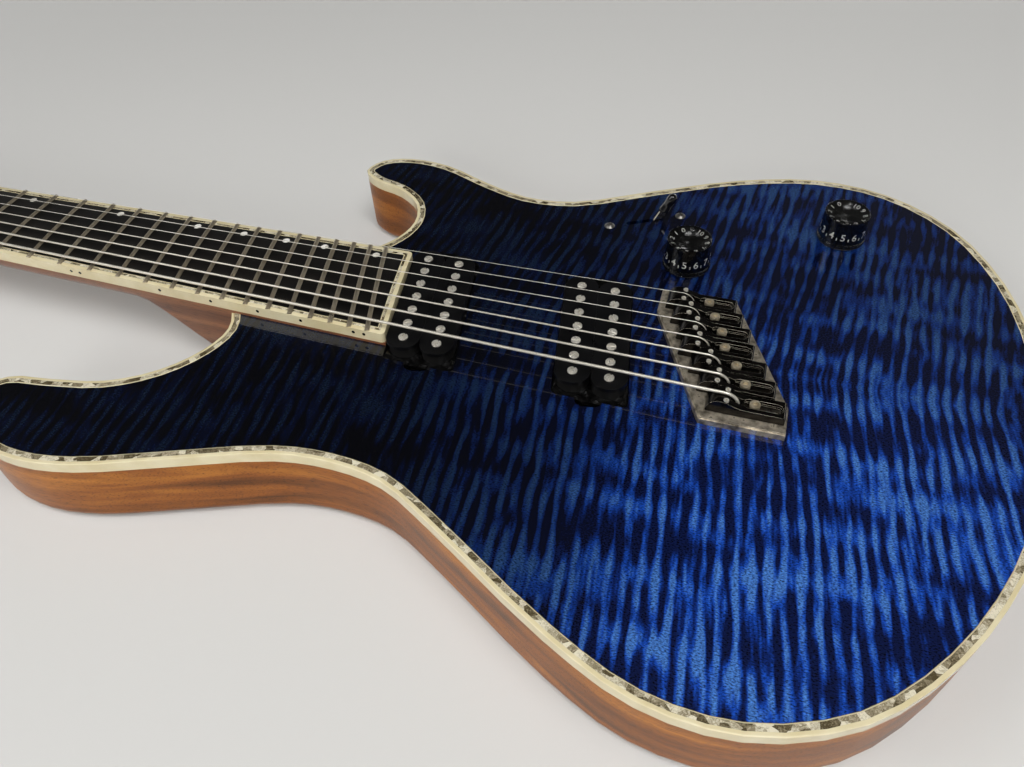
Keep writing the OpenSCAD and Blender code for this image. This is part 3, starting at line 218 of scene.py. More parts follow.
@dataclass(frozen=True)
class StainedFlameMaple(Finish):
    """Curly maple, dyed blue and sealed under a thick polished clear coat.

    Where the fibres dip, the dye goes nearly black, so short dark bars cross a glowing blue in
    broken runs. Fine fibres speckle both, drawn coarser than real ones so that they show. The two
    halves are cut from one board and opened like a book along the centre line. The colour darkens
    from the lower bout to the horns and the far side, partly as a dye burst and partly as painted
    shade where the light falls off.
    """

    deep: str = "#020d34"
    dusk: str = "#06205f"
    glow: str = "#113f9a"
    ridge: str = "#3a66a8"
    bar_mm: float = 6.2
    bar_length_mm: float = 60.0
    bar_cells: float = 2.2
    bend_mm: float = 1.8
    bend_run_mm: float = 55.56
    slant: float = -0.1
    run_mm: float = 26.0
    run_gain: tuple[float, float] = (0.1, 0.42)
    zone_mm: float = 30.0
    zone_length_mm: float = 120.0
    zone_gain: tuple[float, float] = (0.088, 0.462)
    blotch_cells: float = 1.5
    fibre_mm: float = 0.6
    fibre_length_mm: float = 1.1
    fibre_gain: tuple[float, float] = (0.15, 1.85)
    # Reach of the darkening towards the horns and the far side: partly dye burst, partly painted light
    # falloff
    bout_x_mm: tuple[float, float] = (-125.0, 50.0)
    bout_y_mm: tuple[float, float] = (-90.0, 75.0)
    cloud_mm: float = 111.1
    cloud_reach_mm: float = 120.0
    far_level: float = 0.3
    dark_level: float = 0.04

    def paint(self, tree: Tree, shader: Node) -> None:
        """Broken bars across the grain over fine fibres along it, both dimmed towards the horns and the far
        side by a dye burst and painted light falloff.

        Args:
            tree: The material's node tree.
            shader: Its shader node.
        """
        place = add(tree, "TexCoord").outputs["Object"]
        axes = add(tree, "SeparateXYZ", {0: place}).outputs
        half = add(tree, "Math", {0: axes["Y"]}, operation="ABSOLUTE").outputs[0]
        book = add(tree, "CombineXYZ", {0: axes["X"], 1: half}).outputs[0]
        tone = add(
            tree, "ValToRGB", {"Fac": self.figure(tree, axes["X"], half, book)},
            stops=((0.66, self.deep), (1.0, self.ridge), (0.74, self.dusk), (0.85, self.glow)),
        )
        fibre = streaks(tree, book, (self.fibre_length_mm, self.fibre_mm, 1.0), {"Detail": 3.0})
        low, high = self.fibre_gain
        speckle = add(
            tree, "MapRange",
            {"Value": fibre, "From Min": 0.32, "From Max": 0.68, "To Min": low, "To Max": high},
        )
        # Dye burst and painted light falloff, multiplied into the colour
        bright = self.brightness(tree, axes["X"], axes["Y"], book)
        level = add(tree, "Math", {0: speckle.outputs[0], 1: bright}, operation="MULTIPLY")
        dyed = add(
            tree, "Mix", {"Factor": 1.0, "A": tone.outputs[0], "B": level.outputs[0]},
            data_type="RGBA", blend_type="MULTIPLY",
        )
        connect(tree, shader, {
            "Base Color": dyed.outputs["Result"], "Roughness": 0.5, "Specular IOR Level": 0.08,
            "Coat Weight": 1.0, "Coat Roughness": 0.025,
        })

    def figure(self, tree: Tree, x: Socket, half: Socket, book: Socket) -> Socket:
        """Draws the bars: long noise and a beat that comes in runs, in slow patches along the grain.

        Args:
            tree: The material's node tree.
            x: Place along the guitar.
            half: Distance from the centre line.
            book: Both as one vector.

        Returns:
            How bright the figure is.
        """
        bend = add(tree, "TexNoise", {"Vector": book, "Scale": 1 / (self.bend_run_mm * MM), "Detail": 2.0})
        lean = add(tree, "Math", {0: half, 1: self.slant, 2: x}, operation="MULTIPLY_ADD")
        along = add(
            tree, "Math", {0: bend.outputs["Fac"], 1: 2 * self.bend_mm * MM, 2: lean.outputs[0]},
            operation="MULTIPLY_ADD",
        )
        bars_at = add(tree, "CombineXYZ", {0: along.outputs[0], 1: half}).outputs[0]
        bar_sizes = (self.bar_mm / self.bar_cells, self.bar_length_mm / self.bar_cells, 1.0)
        bars = streaks(tree, bars_at, bar_sizes, {"Detail": 1.6})
        beat = add(
            tree, "TexWave",
            {"Vector": bars_at, "Scale": WAVE_BAND / (self.bar_mm * MM), "Distortion": 1.2, "Detail": 1.0,
             "Detail Scale": 0.7},
            bands_direction="X",
        )
        run_scale = self.blotch_cells / (self.run_mm * MM)
        run = add(tree, "TexNoise", {"Vector": bars_at, "Scale": run_scale, "Detail": 1.0})
        weak, strong = self.run_gain
        strength = add(
            tree, "MapRange",
            {"Value": run.outputs["Fac"], "From Min": 0.4, "From Max": 0.6, "To Min": weak,
             "To Max": strong},
        )
        centred = add(tree, "Math", {0: beat.outputs["Fac"], 1: 0.5}, operation="SUBTRACT")
        swing = add(
            tree, "Math", {0: centred.outputs[0], 1: strength.outputs[0], 2: bars}, operation="MULTIPLY_ADD"
        )
        zone_sizes = (self.zone_length_mm / self.blotch_cells, self.zone_mm / self.blotch_cells, 1.0)
        zone = streaks(tree, bars_at, zone_sizes, {"Detail": 1.0})
        dull, lit = self.zone_gain
        patch = add(
            tree, "MapRange",
            {"Value": zone, "From Min": 0.3, "From Max": 0.7, "To Min": dull, "To Max": lit},
        )
        return add(tree, "Math", {0: patch.outputs[0], 1: swing.outputs[0]}).outputs[0]

    def brightness(self, tree: Tree, x: Socket, y: Socket, book: Socket) -> Socket:
        """Darkens from the lower bout to the horns and the far side, with a cloudy border: partly a dye
        burst, partly painted shade where the light falls off.

        Args:
            tree: The material's node tree.
            x: Place along the guitar.
            y: Place across it.
            book: The opened board's coordinates.

        Returns:
            The brightness, 1 at the lower bout.
        """
        cloud = add(tree, "TexNoise", {"Vector": book, "Scale": 1 / (self.cloud_mm * MM), "Detail": 1.0})
        middle = self.cloud_reach_mm / 2
        fades = []
        # Painted light falloff with the dye burst, along the guitar and across it
        for axis, (low, high), start, end in (
            (x, self.bout_x_mm, 0.0, 1.0), (y, self.bout_y_mm, 1.0, self.far_level)
        ):
            shifted = add(
                tree, "Math", {0: cloud.outputs["Fac"], 1: self.cloud_reach_mm * MM, 2: axis},
                operation="MULTIPLY_ADD",
            )
            fade = add(
                tree, "MapRange",
                {"Value": shifted.outputs[0], "From Min": (low + middle) * MM,
                 "From Max": (high + middle) * MM, "To Min": start, "To Max": end},
                interpolation_type="SMOOTHSTEP",
            )
            fades.append(fade.outputs[0])
        square = add(tree, "Math", {0: fades[0], 1: fades[0]}, operation="MULTIPLY")
        bout = add(tree, "Math", {0: square.outputs[0], 1: fades[1]}, operation="MULTIPLY")
        bright = add(
            tree, "Math", {0: bout.outputs[0], 1: 1 - self.dark_level, 2: self.dark_level},
            operation="MULTIPLY_ADD",
        )
        return bright.outputs[0]


@dataclass(frozen=True)
class Timber(Finish):
    """Sawn and sanded timber with its grain along the guitar.

    Long bands of early and late wood lying flat in the board, so that the ends show them as layers,
    and short dark pores; oil or lacquer gives the sheen.
    """

    light: str
    mid: str
    dark: str
    ring_mm: float = 5.0
    ring_cells: tuple[float, float] = (0.15, 0.5)
    run_mm: float = 160.0
    pore_mm: float = 0.45
    pore_stretch: float = 14.0
    pore_tone: float = 0.55
    pore_depth_mm: float = 0.06
    polish: Polish = Polish.SATIN
    coat: float = 0.15
    specular: float = 0.5

    def paint(self, tree: Tree, shader: Node) -> None:
        """Rings and pores, both drawn out along the grain.

        Args:
            tree: The material's node tree.
            shader: Its shader node.
        """
        place = add(tree, "TexCoord").outputs["Object"]
        across, up = (self.ring_mm / cells for cells in self.ring_cells)
        rings = streaks(tree, place, (self.run_mm, across, up), {"Detail": 5.0, "Distortion": 0.5})
        tone = add(
            tree, "ValToRGB", {"Fac": rings},
            stops=((0.32, self.dark), (0.68, self.light), (0.5, self.mid)),
        )
        pore_sizes = (self.pore_stretch * self.pore_mm, self.pore_mm, self.pore_mm)
        pores = add(
            tree, "MapRange",
            {"Value": streaks(tree, place, pore_sizes, {"Detail": 2.0}), "From Min": 0.34, "From Max": 0.46,
             "To Min": self.pore_tone, "To Max": 1.0},
        )
        wood = add(
            tree, "Mix", {"Factor": 1.0, "A": tone.outputs[0], "B": pores.outputs[0]},
            data_type="RGBA", blend_type="MULTIPLY",
        )
        relief = add(
            tree, "Bump",
            {"Strength": 0.6, "Distance": self.pore_depth_mm * MM, "Height": pores.outputs[0]},
        )
        sheen = add(tree, "MapRange", {"Value": rings, **self.polish.drift(0.06, 0.1)})
        connect(tree, shader, {
            "Base Color": wood.outputs["Result"], "Normal": relief.outputs[0],
            "Roughness": sheen.outputs[0], "Specular IOR Level": self.specular,
            "Coat Weight": self.coat, "Coat Roughness": 0.12,
        })


@dataclass(frozen=True)
class Shell(Finish):
    """Sawn mother-of-pearl laid in short pieces under lacquer.

    Each piece catches the light at its own angle, so pale, grey and brown patches sit side by
    side, with wavy growth lines in each.
    """

    pale: str = "#e4dcc3"
    grey: str = "#978c72"
    brown: str = "#50462f"
    patch_mm: float = 4.0
    vein_mm: float = 1.3
    wobble_mm: float = 6.0
    wobble_reach_mm: float = 2.2

    def paint(self, tree: Tree, shader: Node) -> None:
        """Bent cells for the pieces, banded noise for the growth lines.

        Args:
            tree: The material's node tree.
            shader: Its shader node.
        """
        place = add(tree, "TexCoord").outputs["Object"]
        wobble = add(tree, "TexNoise", {"Vector": place, "Scale": 1 / (self.wobble_mm * MM), "Detail": 2.0})
        bent = add(
            tree, "Mix",
            {"Factor": self.wobble_reach_mm * MM, "A": place, "B": wobble.outputs["Color"]},
            data_type="RGBA", blend_type="ADD",
        ).outputs["Result"]
        cells = add(tree, "TexVoronoi", {"Vector": bent, "Scale": 1 / (self.patch_mm * MM)})
        veins = add(
            tree, "TexNoise",
            {"Vector": bent, "Scale": 1 / (self.vein_mm * MM), "Detail": 3.0, "Distortion": 1.5},
        )
        catch = add(
            tree, "Mix", {"Factor": 0.5, "A": cells.outputs["Color"], "B": veins.outputs["Fac"]},
            data_type="RGBA",
        )
        tone = add(
            tree, "ValToRGB", {"Fac": catch.outputs["Result"]},
            stops=((0.33, self.brown), (0.68, self.pale), (0.5, self.grey)),
        )
        connect(tree, shader, {
            "Base Color": tone.outputs[0], "Roughness": 0.22, "Specular IOR Level": 0.7,
            "Coat Weight": 1.0, "Coat Roughness": 0.04,
        })


@dataclass(frozen=True)
class Moulded(Finish):
    """Moulded or cast plastic, or bone: one colour that drifts a little, with a fine skin.

    The drift keeps large faces from looking printed; the skin breaks the highlight slightly.
    """

    colour: str
    drift: str
    polish: Polish = Polish.SATIN
    drift_mm: float = 9.0
    skin_mm: float = 0.5
    skin_depth_mm: float = 0.01
    coat: float = 0.0
    gleam: float = 0.5

    def paint(self, tree: Tree, shader: Node) -> None:
        """Two tones by slow noise, and a fine grain in the height and the roughness.

        Args:
            tree: The material's node tree.
            shader: Its shader node.
        """
        place = add(tree, "TexCoord").outputs["Object"]
        slow = add(
            tree, "TexNoise", {"Vector": place, "Scale": 1 / (self.drift_mm * MM), "Detail": 4.0}
        ).outputs["Fac"]
        tone = add(tree, "ValToRGB", {"Fac": slow}, stops=((0.35, self.colour), (0.65, self.drift)))
        skin = add(tree, "TexNoise", {"Vector": place, "Scale": 1 / (self.skin_mm * MM), "Detail": 2.0})
        relief = add(
            tree, "Bump",
            {"Strength": 0.4, "Distance": self.skin_depth_mm * MM, "Height": skin.outputs["Fac"]},
        )
        rough = add(
            tree, "MapRange",
            {"Value": slow, "From Min": 0.3, "From Max": 0.7, **self.polish.drift(0.05, 0.08)},
        )
        connect(tree, shader, {
            "Base Color": tone.outputs[0], "Normal": relief.outputs[0], "Roughness": rough.outputs[0],
            "Specular IOR Level": self.gleam, "Coat Weight": self.coat, "Coat Roughness": 0.05,
        })


@dataclass(frozen=True)
class Metal(Finish):
    """Turned, cast or drawn metal with the marks of handling.

    Faint smears change the gloss from place to place; fine scratches run with the guitar. A haze of
    oxide and finger marks keeps a little of the colour in view where nothing bright is mirrored.
    """

    colour: str
    tarnish: str
    polish: Polish = Polish.BUFFED
    smear_mm: float = 6.0
    scratch_mm: float = 0.3
    scratch_stretch: float = 10.0
    scratch_depth_mm: float = 0.006
    haze: float = 0.0

    def paint(self, tree: Tree, shader: Node) -> None:
        """Smears in colour and gloss, and drawn-out scratches in the height.

        Args:
            tree: The material's node tree.
            shader: Its shader node.
        """
        place = add(tree, "TexCoord").outputs["Object"]
        smear = add(
            tree, "TexNoise", {"Vector": place, "Scale": 1 / (self.smear_mm * MM), "Detail": 5.0}
        ).outputs["Fac"]
        tone = add(tree, "ValToRGB", {"Fac": smear}, stops=((0.4, self.colour), (0.72, self.tarnish)))
        rough = add(
            tree, "MapRange",
            {"Value": smear, "From Min": 0.3, "From Max": 0.7, **self.polish.drift(0.06, 0.1)},
        )
        scratch_sizes = (self.scratch_stretch * self.scratch_mm, self.scratch_mm, self.scratch_mm)
        lines = streaks(tree, place, scratch_sizes, {"Detail": 2.0})
        relief = add(
            tree, "Bump", {"Strength": 0.3, "Distance": self.scratch_depth_mm * MM, "Height": lines}
        )
        connect(tree, shader, {
            "Base Color": tone.outputs[0], "Roughness": rough.outputs[0], "Normal": relief.outputs[0],
            "Metallic": 1.0 - self.haze,
        })


@dataclass(frozen=True)
class WoundWire(Finish):
    """Nickel-plated wrap wire on a steel core.

    Each turn is a ridge painted lighter as a highlight, with the hollow between turns painted darker
    as shade. The real pitch is about 0.3 mm, drawn coarser here so that it shows.
    """

    # Colours of each turn: a painted highlight on its top, painted shade in the hollow between turns
    ridge: str = "#f4efe2"
    groove: str = "#cbc4b3"
    pitch_mm: float = 0.45
    depth_mm: float = 0.08
    haze: float = 0.3

    def paint(self, tree: Tree, shader: Node) -> None:
        """Bands along the wire, which runs towards +X and then down.

        Args:
            tree: The material's node tree.
            shader: Its shader node.
        """
        place = add(tree, "TexCoord").outputs["Object"]
        axes = add(tree, "SeparateXYZ", {0: place}).outputs
        run = add(tree, "Math", {0: axes["X"], 1: axes["Z"]}, operation="SUBTRACT")
        line = add(tree, "CombineXYZ", {0: run.outputs[0]})
        turns = add(
            tree, "TexWave", {"Vector": line.outputs[0], "Scale": WAVE_BAND / (self.pitch_mm * MM)},
            bands_direction="X",
        ).outputs["Fac"]
        # Painted highlight and painted shade across each turn, with the bump
        tone = add(tree, "ValToRGB", {"Fac": turns}, stops=((0.1, self.groove), (0.55, self.ridge)))
        relief = add(tree, "Bump", {"Strength": 0.15, "Distance": self.depth_mm * MM, "Height": turns})
        connect(tree, shader, {
            "Base Color": tone.outputs[0], "Normal": relief.outputs[0], "Metallic": 1.0 - self.haze,
            "Roughness": 0.28,
        })


@dataclass(frozen=True)
class ClearAcrylic(Finish):
    """Cast acrylic, turned and polished: clear as glass, with a faint turned haze."""

    colour: str = "#f4f4f2"
    ior: float = 1.49
    haze_mm: float = 4.0
    haze: float = 0.035

    def paint(self, tree: Tree, shader: Node) -> None:
        """A transmitting shader whose gloss drifts a little.

        Args:
            tree: The material's node tree.
            shader: Its shader node.
        """
        place = add(tree, "TexCoord").outputs["Object"]
        drift = add(tree, "TexNoise", {"Vector": place, "Scale": 1 / (self.haze_mm * MM), "Detail": 3.0})
        rough = add(
            tree, "MapRange",
            {"Value": drift.outputs["Fac"], "From Min": 0.35, "From Max": 0.65, "To Min": 0.0,
             "To Max": self.haze},
        )
        connect(tree, shader, {
            "Roughness": rough.outputs[0], "Base Color": linear(self.colour), "IOR": self.ior,
            "Transmission Weight": 1.0,
        })


@dataclass(frozen=True)
class StudioFloor(Finish):
    """Pale matt studio paper that keeps its tone beyond the lamps' reach."""

    colour: str = "#d9d8d5"
    lift: float = 0.15
    near_m: float = 0.5
    far_m: float = 1.7
    far_tone: float = 0.88

    def paint(self, tree: Tree, shader: Node) -> None:
        """One matt tone, lifted where it is seen directly, in gloss or through glass.

        Args:
            tree: The material's node tree.
            shader: Its shader node.
        """
        colour = linear(self.colour)
        connect(tree, shader, {"Base Color": colour, "Roughness": 0.9, "Specular IOR Level": 0.1})
        path = add(tree, "LightPath").outputs
        seen = path["Is Camera Ray"]
        for ray in ("Is Glossy Ray", "Is Transmission Ray"):
            seen = add(tree, "Math", {0: seen, 1: path[ray]}, operation="MAXIMUM").outputs[0]
        place = add(tree, "TexCoord").outputs["Object"]
        away = add(tree, "VectorMath", {0: place}, operation="LENGTH").outputs["Value"]
        sizes = {"Value": away, "From Min": self.near_m, "From Max": self.far_m, "To Min": self.lift}
        far = add(tree, "MapRange", sizes, interpolation_type="SMOOTHSTEP")
        share = add(tree, "Math", {0: seen, 1: far.outputs[0]}, operation="MULTIPLY")
        tone = add(tree, "Emission", {"Color": colour, "Strength": self.far_tone})
        paper = add(tree, "MixShader", {0: share.outputs[0], 1: shader.outputs[0], 2: tone.outputs[0]})
        connect(tree, tree.nodes["Material Output"], {"Surface": paper.outputs[0]})


# Finishes of this guitar, named for what each is; the dyed maple's darkening, the wound string's turns and
# the saddles' pale edges also carry painted light
BLUE_FLAME = StainedFlameMaple("stained_flame_maple_gloss")
MAHOGANY = Timber("oiled_mahogany", "#96623c", "#784829", "#522d13", ring_mm=4.0)
BODY_WOOD = Timber("oiled_body_mahogany", "#ba762c", "#91541d", "#5f350f", coat=0.08, specular=0.2)
MAPLE = Timber("oiled_maple", "#d9b98a", "#c9a26c", "#ad824d", ring_mm=3.0, pore_depth_mm=0.02)
EBONY = Timber("polished_ebony", "#130f0d", "#0a0807", "#040303", ring_mm=2.5, run_mm=90.0, coat=0.25)
CREAM = Moulded("cream_celluloid", "#e1d6b2", "#d5c79d", Polish.BUFFED, drift_mm=14.0, coat=0.6)
PEARL = Shell("mother_of_pearl_strip")
DOT_PEARL = Shell("mother_of_pearl_dot", pale="#faf8f2", grey="#e6e3d9", brown="#c9c5b8")
DOT_BLACK = Moulded("black_celluloid_dot", "#0b0b0b", "#151413", Polish.BUFFED)
BONE = Moulded("polished_bone", "#ece3cb", "#dacda8", drift_mm=3.0)
FRET_WIRE = Metal(
    "polished_nickel_silver_wire", "#b9ae99", "#9c917c", Polish.SATIN, smear_mm=25.0, scratch_mm=3.0,
    haze=0.2,
)
STEEL = Metal("drawn_steel", "#93918c", "#63605b", Polish.SATIN, haze=0.2)
BLACK_ABS = Moulded("moulded_black_abs", "#0d0d0e", "#17171a", skin_depth_mm=0.02)
BOBBIN = Moulded("moulded_black_butyrate", "#050506", "#0a0a0c", gleam=0.3)
EPOXY = Moulded(
    "black_potting_epoxy", "#040404", "#0b0a0a", Polish.BUFFED, drift_mm=2.5, skin_mm=1.2,
    skin_depth_mm=0.2,
)
SHIELD_PAINT = Moulded(
    "black_shielding_paint", "#070707", "#0d0d0d", skin_mm=0.8, skin_depth_mm=0.05
)
COIL_TAPE = Moulded(
    "black_cloth_tape", "#070707", "#0e0d0c", Polish.SANDED, skin_mm=0.8, skin_depth_mm=0.05
)
NICKEL_SILVER = Metal("pressed_nickel_silver", "#a8a296", "#7d7768", Polish.SATIN)
MAGNET = Moulded("pressed_ferrite", "#2b2a29", "#383634", Polish.SANDED)
NICKEL = Metal("polished_nickel", "#d3cec2", "#a69f8f")
SCREW_NICKEL = Metal("worn_nickel_screw", "#efebe0", "#cfc8b8", Polish.SATIN, smear_mm=2.0, haze=0.38)
AGED_SCREW = Metal("aged_nickel_screw", "#cbbfa6", "#9c8f76", Polish.SATIN, smear_mm=2.5, haze=0.3)
SMOKED_NICKEL = Metal("smoked_nickel_plate", "#cdc2ae", "#544d42", Polish.SATIN, smear_mm=4.0, haze=0.3)
PLAIN_STRING = Metal(
    "drawn_string_steel", "#f4f0e4", "#e2ddcf", Polish.SATIN, smear_mm=60.0, scratch_mm=4.0, haze=0.3
)
WOUND_STRING = WoundWire("nickel_wound_string")
BRASS = Metal("turned_brass", "#c79a4c", "#8f6a2c")
BLACK_METAL = Metal("black_chrome", "#17171a", "#26252a")
SADDLE_BLACK = Metal("black_nickel_plate", "#242220", "#34312e", haze=0.1)
# Pale finish of the saddles' rounded edges: partly rubbed plating, partly a painted highlight
WORN_AND_HIGHLIGHT_EDGE = Metal("black_nickel_worn_and_highlight_edge", "#efe6d2", "#b8ad98", Polish.SATIN, smear_mm=3.0, haze=0.55)
ACRYLIC = ClearAcrylic("clear_cast_acrylic")
KNOB_BLACK = Moulded("black_knob_lining", "#040404", "#080808", Polish.BUFFED)
WHITE_PRINT = Moulded("white_printing_ink", "#f2f1ec", "#dddcd5", Polish.SANDED)
BLACK_GLOSS = Moulded("gloss_black_lacquer", "#060607", "#0c0c0e", Polish.MIRROR, coat=0.8)
WIRE_GREY = Moulded("grey_wire_sleeve", "#3a3c40", "#4a4c50", Polish.SANDED)
PAPER = StudioFloor("studio_paper")


def flatten(bm: BMesh, flat_deg: float = 0.1) -> None:
    """Takes out the edges inside flat faces, so that only real edges are left to round.

    Args:
        bm: The mesh, changed in place.
        flat_deg: Largest angle that still counts as flat.
    """
    bmesh.ops.dissolve_limit(
        bm, angle_limit=math.radians(flat_deg), verts=bm.verts, edges=bm.edges, delimit={"NORMAL"}
    )


def pair_up(bm: BMesh, flat_deg: float = 0.5) -> None:
    """Joins triangles in one plane into four-sided faces, for rings that no single face can fill.

    Args:
        bm: The mesh, changed in place.
        flat_deg: Largest angle that still counts as flat.
    """
    bmesh.ops.join_triangles(
        bm, faces=bm.faces, angle_face_threshold=math.radians(flat_deg), angle_shape_threshold=math.pi
    )


def bevel(
    bm: BMesh, edges: list[BMEdge], width_mm: float, segments: int, clamp: bool = False
) -> list[BMFace]:
    """Rounds some edges of a mesh.

    Args:
        bm: The mesh, changed in place.
        edges: The edges.
        width_mm: Width of the rounding.
        segments: Faces across the rounding.
        clamp: Whether the rounding gets narrower where faces would cross.

    Returns:
        The faces of the rounding.
    """
    made = bmesh.ops.bevel(
        bm, geom=edges, offset=width_mm * MM, offset_type="OFFSET", affect="EDGES", segments=segments,
        profile=0.5, material=-1, clamp_overlap=clamp,
    )
    return made["faces"]


def soften(
    bm: BMesh, width_mm: float, where: EdgeTest | None = None, segments: int = 2
) -> list[BMFace]:
    """Rounds the sharp edges of a mesh.

    Args:
        bm: The mesh, changed in place.
        width_mm: Width of the rounding.
        where: Test for the edges to round, all of the sharp ones where it is left out.
        segments: Faces across the rounding.

    Returns:
        The faces of the rounding.
    """
    least = math.radians(ROUND_FROM_DEG)
    sharp = [
        e for e in bm.edges
        if e.is_manifold and e.calc_face_angle(0.0) > least and (where is None or where(e))
    ]
    return bevel(bm, sharp, width_mm, segments, clamp=True)


def shade(bm: BMesh) -> None:
    """Shades faces smooth and marks what stays sharp.

    Args:
        bm: The mesh, changed in place.
    """
    for face in bm.faces:
        face.smooth = True
    for edge in bm.edges:
        edge.smooth = edge.is_manifold and edge.calc_face_angle(0.0) < math.radians(SHARP_FROM_DEG)


def islands(bm: BMesh) -> list[list[BMFace]]:
    """Splits a mesh into its unconnected shapes.

    Args:
        bm: The mesh.

    Returns:
        The faces of each shape.
    """
    left = set(bm.faces)
    found = []
    while left:
        grown = [left.pop()]
        for face in grown:
            for edge in face.edges:
                for near in edge.link_faces:
                    if near in left:
                        left.remove(near)
                        grown.append(near)
        found.append(grown)
    return found


def span(faces: Iterable[BMFace]) -> tuple[Vector, Vector]:
    """Measures some faces.

    Args:
        faces: The faces.

    Returns:
        Their lowest and highest corners in millimetres.
    """
    points = [v.co / MM for f in faces for v in f.verts]
    return (
        Vector([min(p[k] for p in points) for k in range(3)]),
        Vector([max(p[k] for p in points) for k in range(3)]),
    )


def turned(
    profile: Profile, place: Matrix, steps: int = 64, closed: bool = False, merge_mm: float = 1e-4
) -> BMesh:
    """Turns a profile about its own z axis and puts it in place.

    Args:
        profile: Radius and height of each point in millimetres, from the axis out and round.
        place: Matrix in millimetres that puts it on the guitar.
        steps: Faces round the axis.
        closed: Whether the last point joins the first one.
        merge_mm: Distance within which points on the axis become one.

    Returns:
        The closed solid.
    """
    bm = bmesh.new()
    verts = [bm.verts.new((r, 0.0, z)) for r, z in profile]
    pairs = list(zip(verts, verts[1:]))
    if closed:
        pairs.append((verts[-1], verts[0]))
    edges = [bm.edges.new(p) for p in pairs]
    bmesh.ops.spin(
        bm, geom=verts + edges, cent=(0, 0, 0), axis=(0, 0, 1), angle=math.tau, steps=steps, use_merge=True
    )
    bmesh.ops.remove_doubles(bm, verts=bm.verts, dist=merge_mm)
    bmesh.ops.recalc_face_normals(bm, faces=bm.faces)
    bmesh.ops.transform(bm, matrix=Matrix.Scale(MM, 4) @ place, verts=bm.verts)
    return bm


def settle(name: str, bm: BMesh) -> bpy.types.Mesh:
    """Turns a working mesh into a named one.

    Args:
        name: The new mesh's name.
        bm: The working mesh, freed here.

    Returns:
        The new mesh.
    """
    mesh = bpy.data.meshes.new(name)
    bm.to_mesh(mesh)
    bm.free()
    return mesh


def meshed(name: str, curve: bpy.types.Curve) -> bpy.types.Mesh:
    """Turns a curve or a text into a mesh.

    Args:
        name: Name of the object that carries it meanwhile.
        curve: The curve, removed here.

    Returns:
        The mesh.
    """
    carrier = bpy.data.objects.new(name, curve)
    mesh = bpy.data.meshes.new_from_object(carrier)
    bpy.data.objects.remove(carrier)
    bpy.data.curves.remove(curve)
    return mesh


def absorb(bm: BMesh, mesh: bpy.types.Mesh) -> None:
    """Adds a mesh to a working mesh and removes it."""
    bm.from_mesh(mesh)
    bpy.data.meshes.remove(mesh)


def show(thing: bpy.types.Object) -> None:
    """Puts an object in the scene."""
    bpy.context.scene.collection.objects.link(thing)


@dataclass
class Workshop:
    """The loaded frame, and the bench on which copies of its nodes are finished."""

    frame: dict

    def copy(self, node: str, whole_faces: bool = False) -> BMesh:
        """Copies a node's mesh and merges it.

        Args:
            node: The node's name.
            whole_faces: Whether triangles in one plane become one face.

        Returns:
            The merged copy.
        """
        bm = bmesh.new()
        bm.from_mesh(self.frame["nodes"][node].data)
        bmesh.ops.remove_doubles(bm, verts=bm.verts, dist=MERGE_M)
        if whole_faces:
            flatten(bm)
        return bm

    def place(
        self, name: str, bm: BMesh, finishes: Sequence[Finish], slot: str, nodes: Sequence[str] = (),
        body: str = ROOT,
    ) -> None:
        """Makes a piece of a mesh and hangs it on its body.

        Args:
            name: The piece's name.
            bm: Its mesh, freed here.
            finishes: Its finishes, in the order of the faces' material numbers.
            slot: The record's slot; not used.
            nodes: The nodes that it stands for.
            body: The body that it rides on.
        """
        shade(bm)
        mesh = settle(name, bm)
        piece = bpy.data.objects.new(name, mesh)
        show(piece)
        for finish in finishes:
            mesh.materials.append(finish.material())
        even = piece.modifiers.new("even_normals", "WEIGHTED_NORMAL")
        even.keep_sharp = True
        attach(piece, body)
        if nodes:
            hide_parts(*nodes)
        log.info("%s: %d faces, on %s", name, len(mesh.polygons), body)

    def refine(
        self, node: str, finish: Finish, slot: str, round_mm: float = 0.0, body: str = ROOT
    ) -> None:
        """Copies a node, rounds its edges and dresses it in one finish.

        Args:
            node: The node's name.
            finish: Its finish.
            slot: The record's slot.
            round_mm: Width of the edges' rounding, none at 0.
            body: The body that it rides on.
        """
        bm = self.copy(node, round_mm > 0)
        if round_mm > 0:
            soften(bm, round_mm)
        self.place(node + ".fine", bm, (finish,), slot, (node,), body)


@dataclass(frozen=True)
class PickupRoutes:
    """Plan of the two pickup routes, to tell which faces lie in them."""

    centres: tuple[float, float] = (-122.3, -34.3)
    turn_deg: float = 9.7
    half_w: float = 18.6
    half_l: float = 43.0
    ear_half: float = 7.0
    ear_end: float = 47.0
    lowest: float = 15.0
    margin: float = 0.3

    def hold(self, p: Vector) -> bool:
        """Tells whether a point lies in a route's plan.

        Args:
            p: The point in millimetres.

        Returns:
            True in a route or on its wall.
        """
        turn = math.radians(self.turn_deg)
        for x in self.centres:
            across = (p.x - x) * math.cos(turn) + p.y * math.sin(turn)
            along = p.y * math.cos(turn) - (p.x - x) * math.sin(turn)
            square = abs(along + math.tan(turn) * across) < self.half_l + self.margin
            if square and abs(across) < self.half_w + self.margin:
                return True
            if abs(across) < self.ear_half + self.margin and abs(along) < self.ear_end + self.margin:
                return True
        return False

    def line(self, shop: Workshop, node: str, wood: Finish, slot: str, below_mm: float) -> None:
        """Builds a wooden node, with its share of the routes in shielding paint.

        Args:
            shop: The workshop.
            node: The node's name.
            wood: Its finish outside the routes.
            slot: The record's slot.
            below_mm: Height under which the middle of a painted face has to be.
        """
        bm = shop.copy(node)
        for face in bm.faces:
            middle = face.calc_center_median() / MM
            if self.lowest < middle.z < below_mm and self.hold(middle):
                face.material_index = 1
        shop.place(node + ".fine", bm, (wood, SHIELD_PAINT), slot, (node,))


